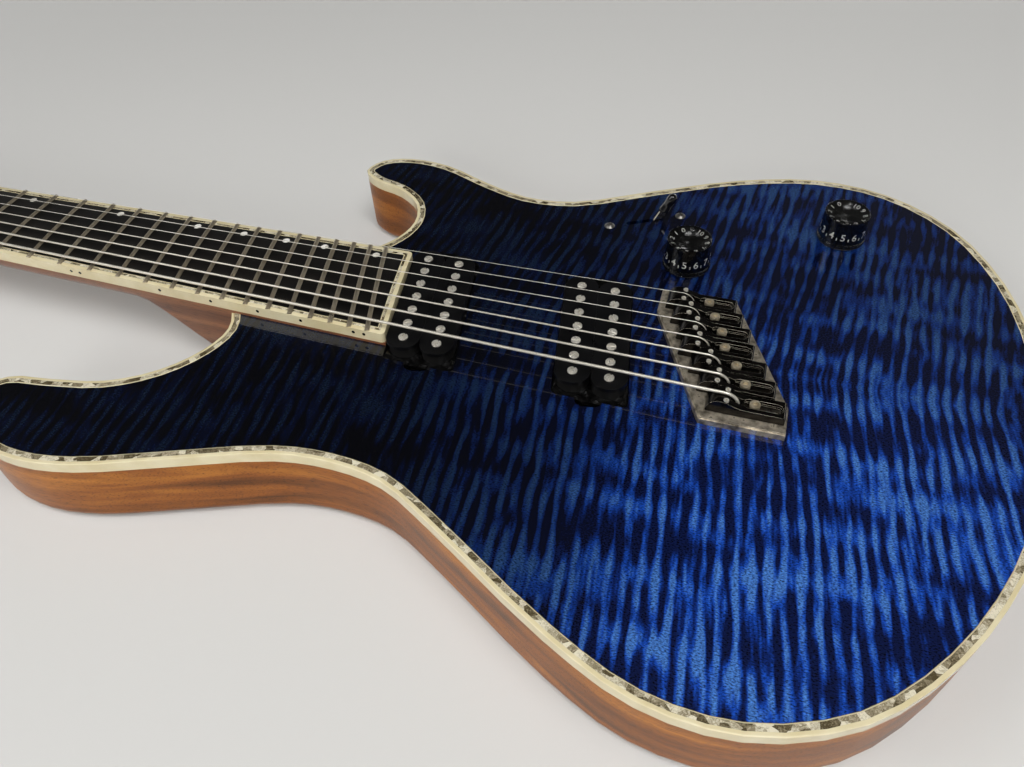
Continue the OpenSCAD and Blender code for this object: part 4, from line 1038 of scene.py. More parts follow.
@dataclass
class Body:
    """Flat-topped body: dyed maple over mahogany, edged in pearl and cream."""

    shop: Workshop
    routes: PickupRoutes = PickupRoutes()
    bare_lip_mm: float = 1.0
    binding_mm: float = 1.0
    binding_segments: int = 3
    face_slack_mm: float = 0.1
    probe_out_mm: float = 0.5
    probe_up_mm: float = 20.0

    def build(self) -> None:
        """Builds the top, its edging and the wings."""
        below = FACE_MM - self.bare_lip_mm
        self.routes.line(self.shop, "maple_top", BLUE_FLAME, "blue_flame", below)
        self.routes.line(self.shop, "body_wings", BODY_WOOD, "body_wood", below)
        self.shop.refine("body_purfling", PEARL, "pearl")
        self.binding()

    def binding(self) -> None:
        """Builds the cream binding with its outer edge rounded."""
        bm = self.shop.copy("body_binding")
        pair_up(bm)
        inside = BVHTree.FromBMesh(self.shop.copy("body_purfling"))

        def outer(edge: BMEdge) -> bool:
            """Tells whether an edge runs round the outside of the top face.

            Args:
                edge: An edge of the binding.

            Returns:
                True where no purfling lies beyond it.
            """
            if any(v.co.z < (FACE_MM - self.face_slack_mm) * MM for v in edge.verts):
                return False
            side = min((f.normal for f in edge.link_faces), key=lambda n: n.z)
            middle = (edge.verts[0].co + edge.verts[1].co) / 2
            probe = middle + side * self.probe_out_mm * MM + Vector((0, 0, self.probe_up_mm * MM))
            return inside.ray_cast(probe, Vector((0, 0, -1)))[0] is None

        soften(bm, self.binding_mm, outer, self.binding_segments)
        self.shop.place("body_binding.fine", bm, (CREAM,), "cream", ("body_binding",))


@dataclass
class Neck:
    """Laminated neck through the body, with its bound and fretted ebony board."""

    shop: Workshop
    routes: PickupRoutes = PickupRoutes()
    fret_round_mm: float = 0.25
    nut_round_mm: float = 0.3
    binding_mm: float = 0.6
    corner_mm: float = 2.5
    corner_segments: int = 4
    joint_x: float = -300.0
    steep: float = 0.9
    level: float = 0.8
    slanted: float = 0.5

    def build(self) -> None:
        """Builds the neck's laminations, the board, the frets and the nut."""
        self.routes.line(self.shop, "neck_core", MAHOGANY, "mahogany", FACE_MM)
        self.routes.line(self.shop, "neck_stripes", MAPLE, "maple_stripe", FACE_MM)
        self.shop.refine("fingerboard", EBONY, "ebony")
        self.board_binding()
        self.shop.refine("fingerboard_purfling", PEARL, "pearl")
        self.frets()
        self.shop.refine("face_dots", DOT_PEARL, "dot_pearl")
        self.shop.refine("side_dots", DOT_BLACK, "dot_black")
        self.shop.refine("nut", BONE, "bone", self.nut_round_mm)
        self.shop.refine("truss_rod", STEEL, "steel")

    def board_binding(self) -> None:
        """Builds the board's binding with its end corners and upper edges rounded."""
        bm = self.shop.copy("fingerboard_binding", True)
        upright = [
            e for e in bm.edges
            if e.is_convex and abs((e.verts[0].co - e.verts[1].co).normalized().z) > self.steep
            and e.verts[0].co.x > self.joint_x * MM
        ]
        corners = [max(upright, key=lambda e, s=s: s * e.verts[0].co.y) for s in (-1, 1)]
        bevel(bm, corners, self.corner_mm, self.corner_segments)
        soften(bm, self.binding_mm, self.outer)
        self.shop.place("fingerboard_binding.fine", bm, (CREAM,), "cream", ("fingerboard_binding",))

    def frets(self) -> None:
        """Builds the frets with their crowns and ends rounded."""
        bm = self.shop.copy("frets")
        pair_up(bm)
        soften(bm, self.fret_round_mm)
        self.shop.place("frets.fine", bm, (FRET_WIRE,), "fret_wire", ("frets",))

    def outer(self, edge: BMEdge) -> bool:
        """Tells whether an edge of the board's binding is an upper outer one.

        Args:
            edge: The edge.

        Returns:
            True along the sides and the end, on top.
        """
        side, top = sorted((f.normal for f in edge.link_faces), key=lambda n: n.z)
        middle = (edge.verts[0].co + edge.verts[1].co) / 2
        away = side.y * math.copysign(1.0, middle.y)
        faces_out = away > self.slanted or side.x > self.level
        return top.z > self.level and abs(side.z) < self.slanted and faces_out


@dataclass
class Headstock:
    """Tilted headstock with a dyed face and seven sealed tuners."""

    shop: Workshop
    edge_mm: float = 0.8
    housing_mm: float = 1.0
    button_mm: float = 0.6
    small_mm: float = 0.25
    post_mm: float = 0.12

    def build(self) -> None:
        """Builds the headstock, its veneer and cover, and the tuners."""
        self.shop.refine("headstock", MAHOGANY, "mahogany", self.edge_mm)
        self.shop.refine("headstock_veneer", BLUE_FLAME, "blue_flame", self.small_mm)
        self.shop.refine("truss_rod_cover", BLACK_GLOSS, "black_gloss", self.small_mm)
        self.shop.refine("tuner_housings", BLACK_METAL, "black_metal", self.housing_mm)
        self.shop.refine("tuner_bushings", BLACK_METAL, "black_metal", self.small_mm)
        for n in range(1, STRING_COUNT + 1):
            button, post = f"tuner_button_{n}", f"tuner_post_{n}"
            self.shop.refine(button, BLACK_METAL, "black_metal", self.button_mm, button)
            self.shop.refine(post, NICKEL, "nickel", self.post_mm, post)


@dataclass
class Potting:
    """Black resin poured round a pickup's coils, set in glossy lumps."""

    shop: Workshop
    routes: PickupRoutes = PickupRoutes()
    row_x: float = 8.9
    coil_half: tuple[float, float] = (8.15, 38.5)
    coil_corner: float = 7.6
    tuck: float = 0.4
    wall_gap: float = 0.2
    floor_z: float = 40.3
    level_z: float = 42.5
    lump_mm: float = 4.5
    lump_rise: float = 0.9
    fine_share: float = 0.5
    fine_scale: float = 2.2
    cells: tuple[int, int] = (44, 100)

    def in_coil(self, across: float, run: float) -> bool:
        """Tells whether a point lies well inside one of the two coils.

        Args:
            across: Place across the pickup in millimetres.
            run: Place along it, from the slanted middle line.

        Returns:
            True where the resin can't be.
        """
        skew = math.tan(math.radians(self.routes.turn_deg))
        for row in (-self.row_x, self.row_x):
            side = abs(across - row) - (self.coil_half[0] - self.coil_corner)
            end = abs(run - skew * (across - row)) - (self.coil_half[1] - self.coil_corner)
            if math.hypot(max(side, 0.0), max(end, 0.0)) < self.coil_corner - self.tuck:
                return True
        return False

    def pour(self, name: str, x: float) -> None:
        """Builds the resin of one pickup, open where the coils stand.

        Args:
            name: The piece's name.
            x: The pickup's place along the guitar.
        """
        wide = 2 * (self.routes.half_w - self.wall_gap)
        long = 2 * (self.routes.half_l - self.wall_gap)
        turn = math.radians(self.routes.turn_deg)
        bm = bmesh.new()
        bmesh.ops.create_grid(
            bm, x_segments=self.cells[0], y_segments=self.cells[1], size=0.5,
            matrix=Matrix.Diagonal((wide, long, 1, 1)),
        )
        held = [f for f in bm.faces if self.in_coil(*f.calc_center_median().xy)]
        bmesh.ops.delete(bm, geom=held, context="FACES")
        for v in bm.verts:
            lump = noise.noise(v.co / self.lump_mm)
            fine = noise.noise(v.co * self.fine_scale / self.lump_mm)
            v.co.z = self.level_z + self.lump_rise * (lump + self.fine_share * fine)
        floor = bmesh.ops.extrude_face_region(bm, geom=bm.faces[:])["geom"]
        for v in floor:
            if isinstance(v, BMVert):
                v.co.z = self.floor_z
        bmesh.ops.recalc_face_normals(bm, faces=bm.faces)
        slant = Matrix.Identity(4)
        slant[1][0] = -math.tan(turn)
        place = Matrix.Translation((x, 0, 0)) @ Matrix.Rotation(turn, 4, "Z") @ slant
        bmesh.ops.transform(bm, matrix=Matrix.Scale(MM, 4) @ place, verts=bm.verts)
        self.shop.place(name, bm, (EPOXY,), "coil_tape")


@dataclass
class Pickups:
    """Two open twin-coil pickups, screwed straight into the body."""

    shop: Workshop
    bobbin_mm: float = 0.6
    pole_mm: float = 0.55
    small_mm: float = 0.2
    plate_z_mm: float = 40.6

    def build(self) -> None:
        """Builds the bobbins, coils, poles and what carries them."""
        resin = Potting(self.shop)
        for which, x in zip(("neck", "bridge"), resin.routes.centres):
            self.bobbins(f"{which}_pickup_bobbins")
            resin.pour(f"{which}_pickup_potting", x)
        self.shop.refine("pickup_coils", COIL_TAPE, "coil_tape", self.small_mm)
        self.shop.refine("pickup_baseplates", NICKEL_SILVER, "nickel_silver", self.small_mm)
        self.shop.refine("pickup_magnets", MAGNET, "magnet", self.small_mm)
        self.shop.refine("pickup_poles", SCREW_NICKEL, "nickel", self.pole_mm)

    def bobbins(self, node: str) -> None:
        """Builds a pair of bobbins on their potted lower flanges.

        Args:
            node: The pair's node.
        """
        bm = self.shop.copy(node, True)
        soften(bm, self.bobbin_mm)
        for face in bm.faces:
            face.material_index = int(face.calc_center_median().z < self.plate_z_mm * MM)
        self.shop.place(node + ".fine", bm, (BOBBIN, EPOXY), "bobbin_black", (node,))


@dataclass
class Bridge:
    """Slanted bridge plate with seven sliding saddles."""

    shop: Workshop
    plate_mm: float = 0.3
    saddle_mm: float = 0.25
    rim_mm: float = 0.75
    deck_drop: float = 3.0
    deck_slack: float = 0.2
    level: float = 0.9
    upright: float = 0.1
    recess_wall_mm2: float = 26.0
    lock_mm: float = 0.3
    screw_wide_mm: float = 4.0

    def build(self) -> None:
        """Builds the plate, the saddles with their height screws, the lock screws and ferrules."""
        self.shop.refine("bridge_plate", SMOKED_NICKEL, "black_nickel", self.plate_mm)
        self.shop.refine("saddle_lock_screws", AGED_SCREW, "nickel", self.lock_mm)
        self.shop.refine("string_ferrules", NICKEL, "nickel", self.lock_mm)
        for n in range(1, STRING_COUNT + 1):
            self.saddle(f"saddle_{n}")

    def saddle(self, node: str) -> None:
        """Builds one saddle, black with pale rounded edges, partly rubbed plating and partly a painted
        highlight, and bright height screws.

        Args:
            node: The saddle's node, which is also its body.
        """
        bm = self.shop.copy(node, True)
        top = max(v.co.z for v in bm.verts) / MM

        def rim(edge: BMEdge) -> bool:
            """Tells whether an edge runs round the recess, level with the deck.

            Args:
                edge: An edge of the saddle.

            Returns:
                True between the deck and a wall of the recess.
            """
            heights = [abs(top - v.co.z / MM - self.deck_drop) for v in edge.verts]
            lids = sorted(f.normal.z for f in edge.link_faces)
            if max(heights) > self.deck_slack or lids[1] < self.level or lids[0] > self.upright:
                return False
            wall = min(edge.link_faces, key=lambda f: f.normal.z)
            return wall.calc_area() / MM ** 2 < self.recess_wall_mm2

        # The rounded edges take the pale finish: rubbed plating and a painted highlight
        worn_and_highlight = set(soften(bm, self.rim_mm, rim))
        worn_and_highlight |= set(soften(bm, self.saddle_mm))
        for shape in islands(bm):
            low, high = span(shape)
            is_screw = high.y - low.y < self.screw_wide_mm
            for face in shape:
                face.material_index = 1 if is_screw else 2 * int(face in worn_and_highlight)
        finishes = (SADDLE_BLACK, SCREW_NICKEL, WORN_AND_HIGHLIGHT_EDGE)
        self.shop.place(node + ".fine", bm, finishes, "saddle_dark", (node,), node)


@dataclass
class Strings:
    """Three plain and four wound strings, from the posts over the nut and saddles to the back.

    Tuples with a number for each string go from the treble to the bass. Post sizes are given for the
    treble row and then for the bass row.
    """

    shop: Workshop
    gauges: tuple[float, ...] = (0.3, 0.38, 0.46, 0.7, 0.95, 1.2, 1.5)
    shifts: tuple[float, ...] = (3.5, 3.5, 4.0, 2.5, 5.0, 6.2, 7.5)
    plain_count: int = 3
    scale_treble: float = 648.0
    scale_bass: float = 686.0
    neutral_fret: int = 7
    nut_spread: float = 40.3
    pitch: float = 10.75
    nut_top: float = 54.35
    crest_top: float = 57.3
    board_radius: float = 400.0
    drop_lead: float = 0.5
    drop_r: float = 7.0
    ball_z: tuple[float, float] = (2.0, 5.6)
    ball_r: float = 1.9
    ball_waist_r: float = 1.5
    ball_bore_r: float = 0.6
    ball_round: float = 0.5
    ball_flange: float = 1.2
    ball_steps: int = 20
    head_x: float = -670.0
    head_z: float = 45.5
    head_deg: float = 7.0
    treble_posts: int = 3
    post_start: tuple[float, float] = (48.0, 34.0)
    post_step: float = 38.0
    post_y: float = 26.0
    post_taper: float = 4.0
    groove_z: float = 10.0
    groove_r: float = 2.65
    wrap_turns: float = 2.4
    wrap_steps: int = 96
    wrap_pitch: float = 1.06
    arc_steps: int = 12
    round_steps: int = 3
    merge_m: float = 1e-7

    def build(self) -> None:
        """Builds the plain and the wound strings as two pieces."""
        self.piece("strings.plain", range(self.plain_count), PLAIN_STRING, ("strings",))
        self.piece("strings.wound", range(self.plain_count, STRING_COUNT), WOUND_STRING, ())

    def piece(self, name: str, numbers: Iterable[int], finish: Finish, nodes: Sequence[str]) -> None:
        """Sweeps some strings into one piece.

        Args:
            name: The piece's name.
            numbers: The strings, counted from 0.
            finish: Their finish.
            nodes: The nodes that the piece stands for.
        """
        bm = bmesh.new()
        for i in numbers:
            absorb(bm, self.sweep(i))
        for i in numbers:
            absorb(bm, self.ball(i))
        bmesh.ops.remove_doubles(bm, verts=bm.verts, dist=self.merge_m)
        bmesh.ops.recalc_face_normals(bm, faces=bm.faces)
        self.shop.place(name, bm, (finish, BRASS), "string_steel", nodes)

    def scale(self, i: int) -> float:
        """Gives a string's scale length, longer towards the bass."""
        return self.scale_treble + (self.scale_bass - self.scale_treble) * i / (STRING_COUNT - 1)

    def on_string(self, i: int, f: float) -> Vector:
        """Finds a point on a string.

        Args:
            i: The string, counted from 0.
            f: 1 at the nut, 0 at the scale end.

        Returns:
            The point in millimetres.
        """
        last = STRING_COUNT - 1
        side = 1 - 2 * i / last
        scale = self.scale(i)
        end_x = (scale - self.scale_treble) * 2 ** (-self.neutral_fret / 12)
        nut_y = self.nut_spread / 2 * side
        end_y = self.pitch * last / 2 * side
        radius = self.gauges[i] / 2
        nut_z = self.nut_top - nut_y ** 2 / (2 * self.board_radius) + radius
        end_z = self.crest_top - end_y ** 2 / (2 * self.board_radius) + radius
        return Vector((end_x - scale * f, end_y + (nut_y - end_y) * f, end_z + (nut_z - end_z) * f))

    def crest(self, i: int) -> Vector:
        """Finds where a string leaves its saddle's crest."""
        return self.on_string(i, -self.shifts[i] / self.scale(i)) + Vector((self.drop_lead, 0, 0))

    def wrap(self, i: int) -> list[Vector]:
        """Winds a string's end round its post.

        Args:
            i: The string, counted from 0.

        Returns:
            Points from the loose end to where the string leaves the post.
        """
        treble = i < self.treble_posts
        row = i if treble else STRING_COUNT - 1 - i
        side = 1 if treble else -1
        start = self.post_start[0 if treble else 1]
        centre = Vector(
            (-start - self.post_step * row, side * (self.post_y - self.post_taper * row), self.groove_z)
        )
        radius = self.groove_r + self.gauges[i] / 2
        tilt = Matrix.Rotation(-math.radians(self.head_deg), 4, "Y")
        head = Matrix.Translation((self.head_x, 0, self.head_z)) @ tilt
        points = []
        for k in range(self.wrap_steps, -1, -1):
            turn = math.tau * self.wrap_turns * k / self.wrap_steps
            angle = -side * (math.pi / 2 + turn)
            drop = self.wrap_pitch * self.gauges[i] * max(0.0, turn / math.tau - 1)
            out = Vector((radius * math.cos(angle), radius * math.sin(angle), -drop))
            points.append(head @ (centre + out))
        return points

    def sweep(self, i: int) -> bpy.types.Mesh:
        """Sweeps one string along its path.

        Args:
            i: The string, counted from 0.

        Returns:
            Its mesh in metres, with closed ends.
        """
        crest = self.crest(i)
        points = self.wrap(i) + [self.on_string(i, 1.0)]
        for k in range(self.arc_steps + 1):
            a = math.pi / 2 * k / self.arc_steps
            points.append(crest + self.drop_r * Vector((math.sin(a), 0, math.cos(a) - 1)))
        points.append(Vector((points[-1].x, points[-1].y, sum(self.ball_z) / 2)))
        name = f"string_path_{i}"
        curve = bpy.data.curves.new(name, "CURVE")
        curve.dimensions = "3D"
        curve.bevel_depth = self.gauges[i] / 2 * MM
        curve.bevel_resolution = self.round_steps
        curve.use_fill_caps = True
        spline = curve.splines.new("POLY")
        spline.points.add(len(points) - 1)
        for target, p in zip(spline.points, points):
            target.co = (*(p * MM), 1.0)
        return meshed(name, curve)

    def ball(self, i: int) -> bpy.types.Mesh:
        """Turns the brass ball end of a string, inside its ferrule.

        Args:
            i: The string, counted from 0.

        Returns:
            Its mesh in metres, in the second material.
        """
        at = self.crest(i) + Vector((self.drop_r, 0, 0))
        low, high = self.ball_z
        bore, waist, rim = self.ball_bore_r, self.ball_waist_r, self.ball_r
        ring = turned(
            ((bore, low), (waist, low), (rim, low + self.ball_round), (waist, low + self.ball_flange),
             (waist, high - self.ball_flange), (rim, high - self.ball_round), (waist, high), (bore, high)),
            Matrix.Translation((at.x, at.y, 0)), self.ball_steps, closed=True,
        )
        for face in ring.faces:
            face.material_index = 1
        return settle("ball_end", ring)


@dataclass(frozen=True)
class Band:
    """A conical band of the knob's lining that carries marks.

    The foot and the head are radius and height in millimetres. A band that faces out is seen from
    outside the knob, and one that faces in is seen across its dish.
    """

    foot: tuple[float, float]
    head: tuple[float, float]
    faces_out: bool
    lift: float = 0.05

    def point(self, x: float, y: float, out: float, angle: float) -> Vector:
        """Finds a point of a thin mark laid on the band.

        Args:
            x: Place across the mark.
            y: Height on the band from its foot.
            out: Height above the mark's middle plane.
            angle: Where the mark's middle goes round the knob, in radians.

        Returns:
            The point in millimetres from the middle of the knob's base.
        """
        (r0, z0), (r1, z1) = self.foot, self.head
        length = math.hypot(r1 - r0, z1 - z0)
        way = 1 if self.faces_out else -1
        off = way * (self.lift + out) / length
        r = r0 + (r1 - r0) * y / length + off * (z1 - z0)
        z = z0 + (z1 - z0) * y / length - off * (r1 - r0)
        turn = angle + way * x / r
        return Vector((r * math.cos(turn), r * math.sin(turn), z))


@dataclass
class Knob:
    """Clear barrel knob, with black paint and white numerals bonded to its inner wall.

    The crown's points are given inwards and down from the top's rim, the skirt's inwards from the
    base's rim and up, and the hub's and the shaft's as radius and height.
    """

    shop: Workshop
    node: str
    x: float
    y: float
    base_z: float = 44.6
    base_r: float = 13.2
    top_r: float = 12.0
    height: float = 17.2
    wall: float = 0.8
    lid: float = 1.3
    dish_r: float = 7.7
    dish_drop: float = 3.3
    crown: Profile = ((0.35, 0.0), (0.12, 0.1), (0.0, 0.32))
    skirt: Profile = (
        (0.72, 3.4), (0.66, 2.9), (0.45, 2.5), (0.16, 2.2), (0.04, 1.9), (0.02, 0.5), (0.4, 0.0)
    )
    hub: Profile = ((0.0, 4.4), (5.2, 4.4), (5.2, 11.0), (8.4, 11.0), (9.6, 0.1))
    shaft: Profile = ((0.0, -14.0), (2.6, -14.0), (3.0, -13.6), (3.0, 4.9), (0.0, 4.9))
    foot_z: float = 0.1
    bond: float = 0.06
    barrel_steps: int = 96
    shaft_steps: int = 32
    digit_mm: float = 4.2
    digit_low: float = 5.6
    dish_digit_mm: float = 3.2
    dish_low: float = 0.8
    type_size: float = 1.38
    ink_mm: float = 0.04
    bold_mm: float = 0.03
    tick_mm: float = 1.7
    tick_wide_mm: float = 0.5
    tick_drop: float = 0.4
    marks: int = 11
    front_deg: float = -90.0
    sweep_deg: float = 300.0

    def at(self) -> Matrix:
        """Gives the knob's place in millimetres."""
        return Matrix.Translation((self.x, self.y, self.base_z))

    def build(self) -> None:
        """Builds the clear barrel, the lining with its shaft, and the numerals."""
        rim = self.height - self.lid
        floor = rim - self.dish_drop
        outside = [(self.top_r - inset, self.height - drop) for inset, drop in self.crown]
        outside += [(self.base_r - inset, z) for inset, z in self.skirt]
        inside = [(self.base_r - self.wall, 0), (self.top_r - self.wall, rim), (self.dish_r, floor)]
        profile = [(0, self.height), *outside, *inside, (0, floor)]
        barrel = turned(profile, self.at(), self.barrel_steps)
        self.shop.place(self.node + ".barrel", barrel, (ACRYLIC,), "clear_knob", (self.node,), self.node)
        foot = (self.base_r - self.wall + self.bond, self.foot_z)
        lip = (self.top_r - self.wall + self.bond, rim + self.bond)
        well = (self.dish_r + self.bond, floor + self.bond)
        lining = turned((*self.hub, foot, lip, well, (0, well[1])), self.at())
        self.shop.place(self.node + ".lining", lining, (KNOB_BLACK,), "black_gloss", (), self.node)
        shaft = turned(self.shaft, self.at(), self.shaft_steps)
        self.shop.place(self.node + ".shaft", shaft, (NICKEL,), "nickel", (), self.node)
        marks = bmesh.new()
        self.numerals(marks, Band(foot, lip, True), self.digit_low, self.digit_mm, self.tick_mm)
        self.numerals(marks, Band(well, lip, False), self.dish_low, self.dish_digit_mm)
        bmesh.ops.remove_doubles(marks, verts=marks.verts, dist=MERGE_M)
        bmesh.ops.recalc_face_normals(marks, faces=marks.faces)
        self.shop.place(self.node + ".numerals", marks, (WHITE_PRINT,), "dot_pearl", (), self.node)

    def digit(self, number: int, tall: float) -> bpy.types.Mesh:
        """Draws a number as a thin flat mark.

        Args:
            number: The number.
            tall: Its height.

        Returns:
            Its mesh in millimetres, standing on the x axis.
        """
        text = bpy.data.curves.new("numeral", "FONT")
        text.body = str(number)
        text.size = tall * self.type_size
        text.align_x = "CENTER"
        text.offset = self.bold_mm
        text.extrude = self.ink_mm / 2
        return meshed("numeral", text)

    def tick(self, tall: float) -> bpy.types.Mesh:
        """Draws a tick as a thin flat mark.

        Args:
            tall: Its height.

        Returns:
            Its mesh in millimetres, standing on the x axis.
        """
        bar = bmesh.new()
        size = Matrix.Diagonal((self.tick_wide_mm, tall, self.ink_mm, 1.0))
        bmesh.ops.create_cube(bar, size=1.0, matrix=size @ Matrix.Translation((0, 0.5, 0)))
        return settle("tick", bar)

    def lay(self, bm: BMesh, mark: bpy.types.Mesh, band: Band, low: float, angle: float) -> None:
        """Bends a flat mark onto a band, adds it and frees it.

        Args:
            bm: The mesh to add to.
            mark: The mark, lying in x and y and thin in z, in millimetres.
            band: The band to lay it on.
            low: Height of its foot on the band.
            angle: Where it goes round the knob, in radians.
        """
        for v in mark.vertices:
            v.co = (self.at() @ band.point(v.co.x, low + v.co.y, v.co.z, angle)) * MM
        absorb(bm, mark)

    def numerals(self, bm: BMesh, band: Band, low: float, tall: float, tick_mm: float = 0.0) -> None:
        """Adds the numerals and the ticks between them round a band.

        Args:
            bm: The mesh to add to.
            band: The band that carries them.
            low: Height of their feet on the band.
            tall: Height of a numeral.
            tick_mm: Height of a tick, none at 0.
        """
        step = math.radians(self.sweep_deg / (self.marks - 1))
        for k in range(self.marks):
            angle = math.radians(self.front_deg - self.sweep_deg / 2) + step * k
            self.lay(bm, self.digit(k, tall), band, low, angle)
            if tick_mm > 0:
                self.lay(bm, self.tick(tick_mm), band, low - self.tick_drop, angle + step / 2)


@dataclass
class Controls:
    """Two knobs, the blade selector, and what they turn under the top."""

    shop: Workshop
    volume_at: tuple[float, float] = (1.0, 71.5)
    tone_at: tuple[float, float] = (81.5, 118.0)
    selector_at: Point = (-28.5, 105.8, 31.0)
    selector_deg: float = 27.6
    lean_deg: float = 30.0
    tip_from: float = 20.45
    blade_mm: float = 0.15
    pot_mm: float = 0.2
    jack_mm: float = 0.4
    cover_mm: float = 0.3

    def build(self) -> None:
        """Builds the knobs, lever, switch, pots, jack, cover and wires."""
        Knob(self.shop, "volume_knob", *self.volume_at).build()
        Knob(self.shop, "tone_knob", *self.tone_at).build()
        self.lever()
        self.shop.refine("selector_switch", NICKEL_SILVER, "nickel_silver")
        self.shop.refine("control_pots", NICKEL, "nickel", self.pot_mm)
        self.shop.refine("output_jack", BLACK_METAL, "black_metal", self.jack_mm)
        self.shop.refine("control_cover", BLACK_ABS, "black_plastic", self.cover_mm)
        self.shop.refine("wiring", WIRE_GREY, "wire_grey")

    def lever(self) -> None:
        """Builds the selector lever: a nickel blade with a black tip."""
        node = "selector_lever"
        bm = self.shop.copy(node, True)
        soften(bm, self.blade_mm)
        upright = (
            Matrix.Translation(self.selector_at)
            @ Matrix.Rotation(math.radians(self.selector_deg), 4, "Z")
            @ Matrix.Rotation(math.radians(self.lean_deg), 4, "Y")
        ).inverted()
        for face in bm.faces:
            height = (upright @ (face.calc_center_median() / MM)).z
            face.material_index = int(height > self.tip_from)
        self.shop.place(node + ".fine", bm, (NICKEL, BLACK_GLOSS), "black_gloss", (node,), node)


@dataclass
class Hardware:
    """Strap buttons and small screws."""

    shop: Workshop
    button_mm: float = 0.3
    back_z_mm: float = 12.0
    head_x_mm: float = -600.0
    selector_y_mm: float = 60.0

    def build(self) -> None:
        """Builds the strap buttons and the screws, black on the covers, grey on the selector."""
        self.shop.refine("strap_buttons", BLACK_METAL, "black_metal", self.button_mm)
        bm = self.shop.copy("screws")
        for shape in islands(bm):
            low, high = span(shape)
            on_cover = high.z < self.back_z_mm or high.x < self.head_x_mm
            on_selector = not on_cover and low.y > self.selector_y_mm
            for face in shape:
                face.material_index = int(on_cover) + 2 * int(on_selector)
        self.shop.place("screws.fine", bm, (SCREW_NICKEL, BLACK_METAL, STEEL), "screw_nickel", ("screws",))


@dataclass(frozen=True)
class Lamp:
    """Square lamp that faces the guitar's body and fades out from its core to its edge.

    The core and the edge are distances from its middle, in sides of the lamp.
    """

    name: str
    at: Point
    size_m: float
    watts: float
    mirrored: bool = True
    aim: Point = (0.0, 0.0, 0.05)
    core: float = 0.1
    edge: float = 0.5
    gain: float = 3.25

    def build(self) -> None:
        """Puts the lamp in the scene."""
        light = bpy.data.lights.new(self.name, "AREA")
        light.shape = "SQUARE"
        light.size = self.size_m
        light.energy = self.watts
        light.use_nodes = True
        tree = light.node_tree
        spot = add(tree, "NewGeometry").outputs["Parametric"]
        away = add(tree, "VectorMath", {0: spot, 1: (0.5, 0.5, 0.0)}, operation="DISTANCE")
        soft = add(
            tree, "MapRange",
            {"Value": away.outputs["Value"], "From Min": self.core, "From Max": self.edge,
             "To Min": self.gain, "To Max": 0.0},
            interpolation_type="SMOOTHSTEP",
        )
        connect(tree, tree.nodes["Emission"], {"Strength": soft.outputs[0]})
        holder = bpy.data.objects.new(self.name, light)
        turn = (Vector(self.aim) - Vector(self.at)).to_track_quat("-Z", "Y")
        holder.matrix_world = Matrix.Translation(self.at) @ turn.to_matrix().to_4x4()
        holder.visible_glossy = self.mirrored
        show(holder)


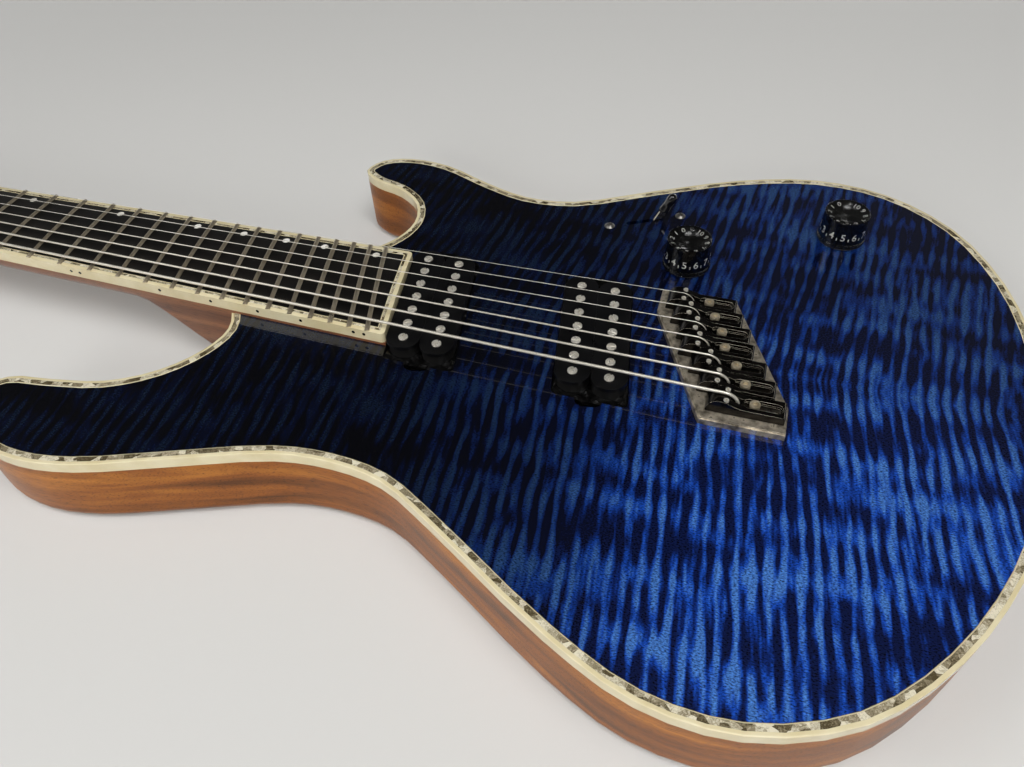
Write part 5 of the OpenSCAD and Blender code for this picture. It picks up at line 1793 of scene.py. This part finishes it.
@dataclass
class Studio:
    """Pale floor, soft lamps, and the camera at the photograph's place."""

    eye: Point = (22.44, -290.57, 326.17)
    right: Point = (0.95387, 0.29835, -0.03343)
    down: Point = (0.19631, -0.70408, -0.68245)
    ahead: Point = (-0.22714, 0.64441, -0.73017)
    focal_px: float = 796.1
    image_px: int = 1024
    sensor_mm: float = 36.0
    clip_mm: float = 10.0
    lamps: tuple[Lamp, ...] = (
        Lamp("key", (0.30, -0.42, 1.25), 1.2, 12.0),
        Lamp("front", (-0.15, -1.90, 1.00), 1.2, 14.0, mirrored=False),
        Lamp("fill", (-0.90, -0.55, 1.10), 1.2, 6.0),
        Lamp("rim", (0.30, 1.90, 0.45), 0.9, 8.0, mirrored=False),
    )
    floor_m: float = 14.0
    floor_drop_mm: float = 0.4
    glow_way: Point = (0.45, 0.8, 0.35)
    glow_from: float = 0.72
    glow: float = 0.11
    dim: float = 0.03
    wall: float = 0.88
    wall_top: float = 0.42

    def build(self) -> None:
        """Builds the camera, the lamps, the world and the floor."""
        bpy.context.scene.view_settings.view_transform = "Standard"
        self.camera()
        for lamp in self.lamps:
            lamp.build()
        self.air()
        self.floor()

    def camera(self) -> None:
        """Puts the camera where the photograph was taken."""
        lens = bpy.data.cameras.new("camera")
        lens.sensor_fit = "HORIZONTAL"
        lens.sensor_width = self.sensor_mm
        lens.lens = self.focal_px * self.sensor_mm / self.image_px
        lens.clip_start = self.clip_mm * MM
        holder = bpy.data.objects.new("camera", lens)
        turn = Matrix((self.right, -Vector(self.down), -Vector(self.ahead))).transposed().to_4x4()
        holder.matrix_world = Matrix.Translation(Vector(self.eye) * MM) @ turn
        show(holder)
        bpy.context.scene.camera = holder

    def air(self) -> None:
        """Makes the room: pale walls, a dim ceiling, and a soft glow beyond the treble side."""
        world = bpy.data.worlds.new("studio_air")
        world.use_nodes = True
        tree = world.node_tree
        way = add(tree, "TexCoord").outputs["Generated"]
        glow = tuple(Vector(self.glow_way).normalized())
        near = add(tree, "VectorMath", {0: way, 1: glow}, operation="DOT_PRODUCT")
        level = add(
            tree, "MapRange",
            {"Value": near.outputs["Value"], "From Min": self.glow_from, "From Max": 1.0,
             "To Min": self.dim, "To Max": self.glow},
            interpolation_type="SMOOTHSTEP",
        )
        rise = add(tree, "SeparateXYZ", {0: way}).outputs["Z"]
        wall = add(
            tree, "MapRange",
            {"Value": rise, "From Max": self.wall_top, "To Min": self.wall, "To Max": 0.0},
            interpolation_type="SMOOTHSTEP",
        )
        both = add(tree, "Math", {0: level.outputs[0], 1: wall.outputs[0]})
        light = {"Strength": both.outputs[0], "Color": linear(PAPER.colour)}
        connect(tree, tree.nodes["Background"], light)
        bpy.context.scene.world = world

    def floor(self) -> None:
        """Lays the floor just under the guitar's back."""
        bm = bmesh.new()
        bmesh.ops.create_grid(
            bm, x_segments=1, y_segments=1, size=self.floor_m / 2,
            matrix=Matrix.Translation((0, 0, -self.floor_drop_mm * MM)),
        )
        mesh = settle("floor", bm)
        mesh.materials.append(PAPER.material())
        sheet = bpy.data.objects.new("floor", mesh)
        show(sheet)


def main() -> None:
    """Loads the frame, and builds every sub-assembly."""
    logging.basicConfig(level=logging.INFO, format="%(name)s %(message)s")
    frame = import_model()
    shop = Workshop(frame)
    Studio().build()
    for assembly in (Body, Neck, Headstock, Pickups, Bridge, Strings, Controls, Hardware):
        log.info("%s", assembly.__name__)
        assembly(shop).build()


if __name__ == "__main__":
    main()
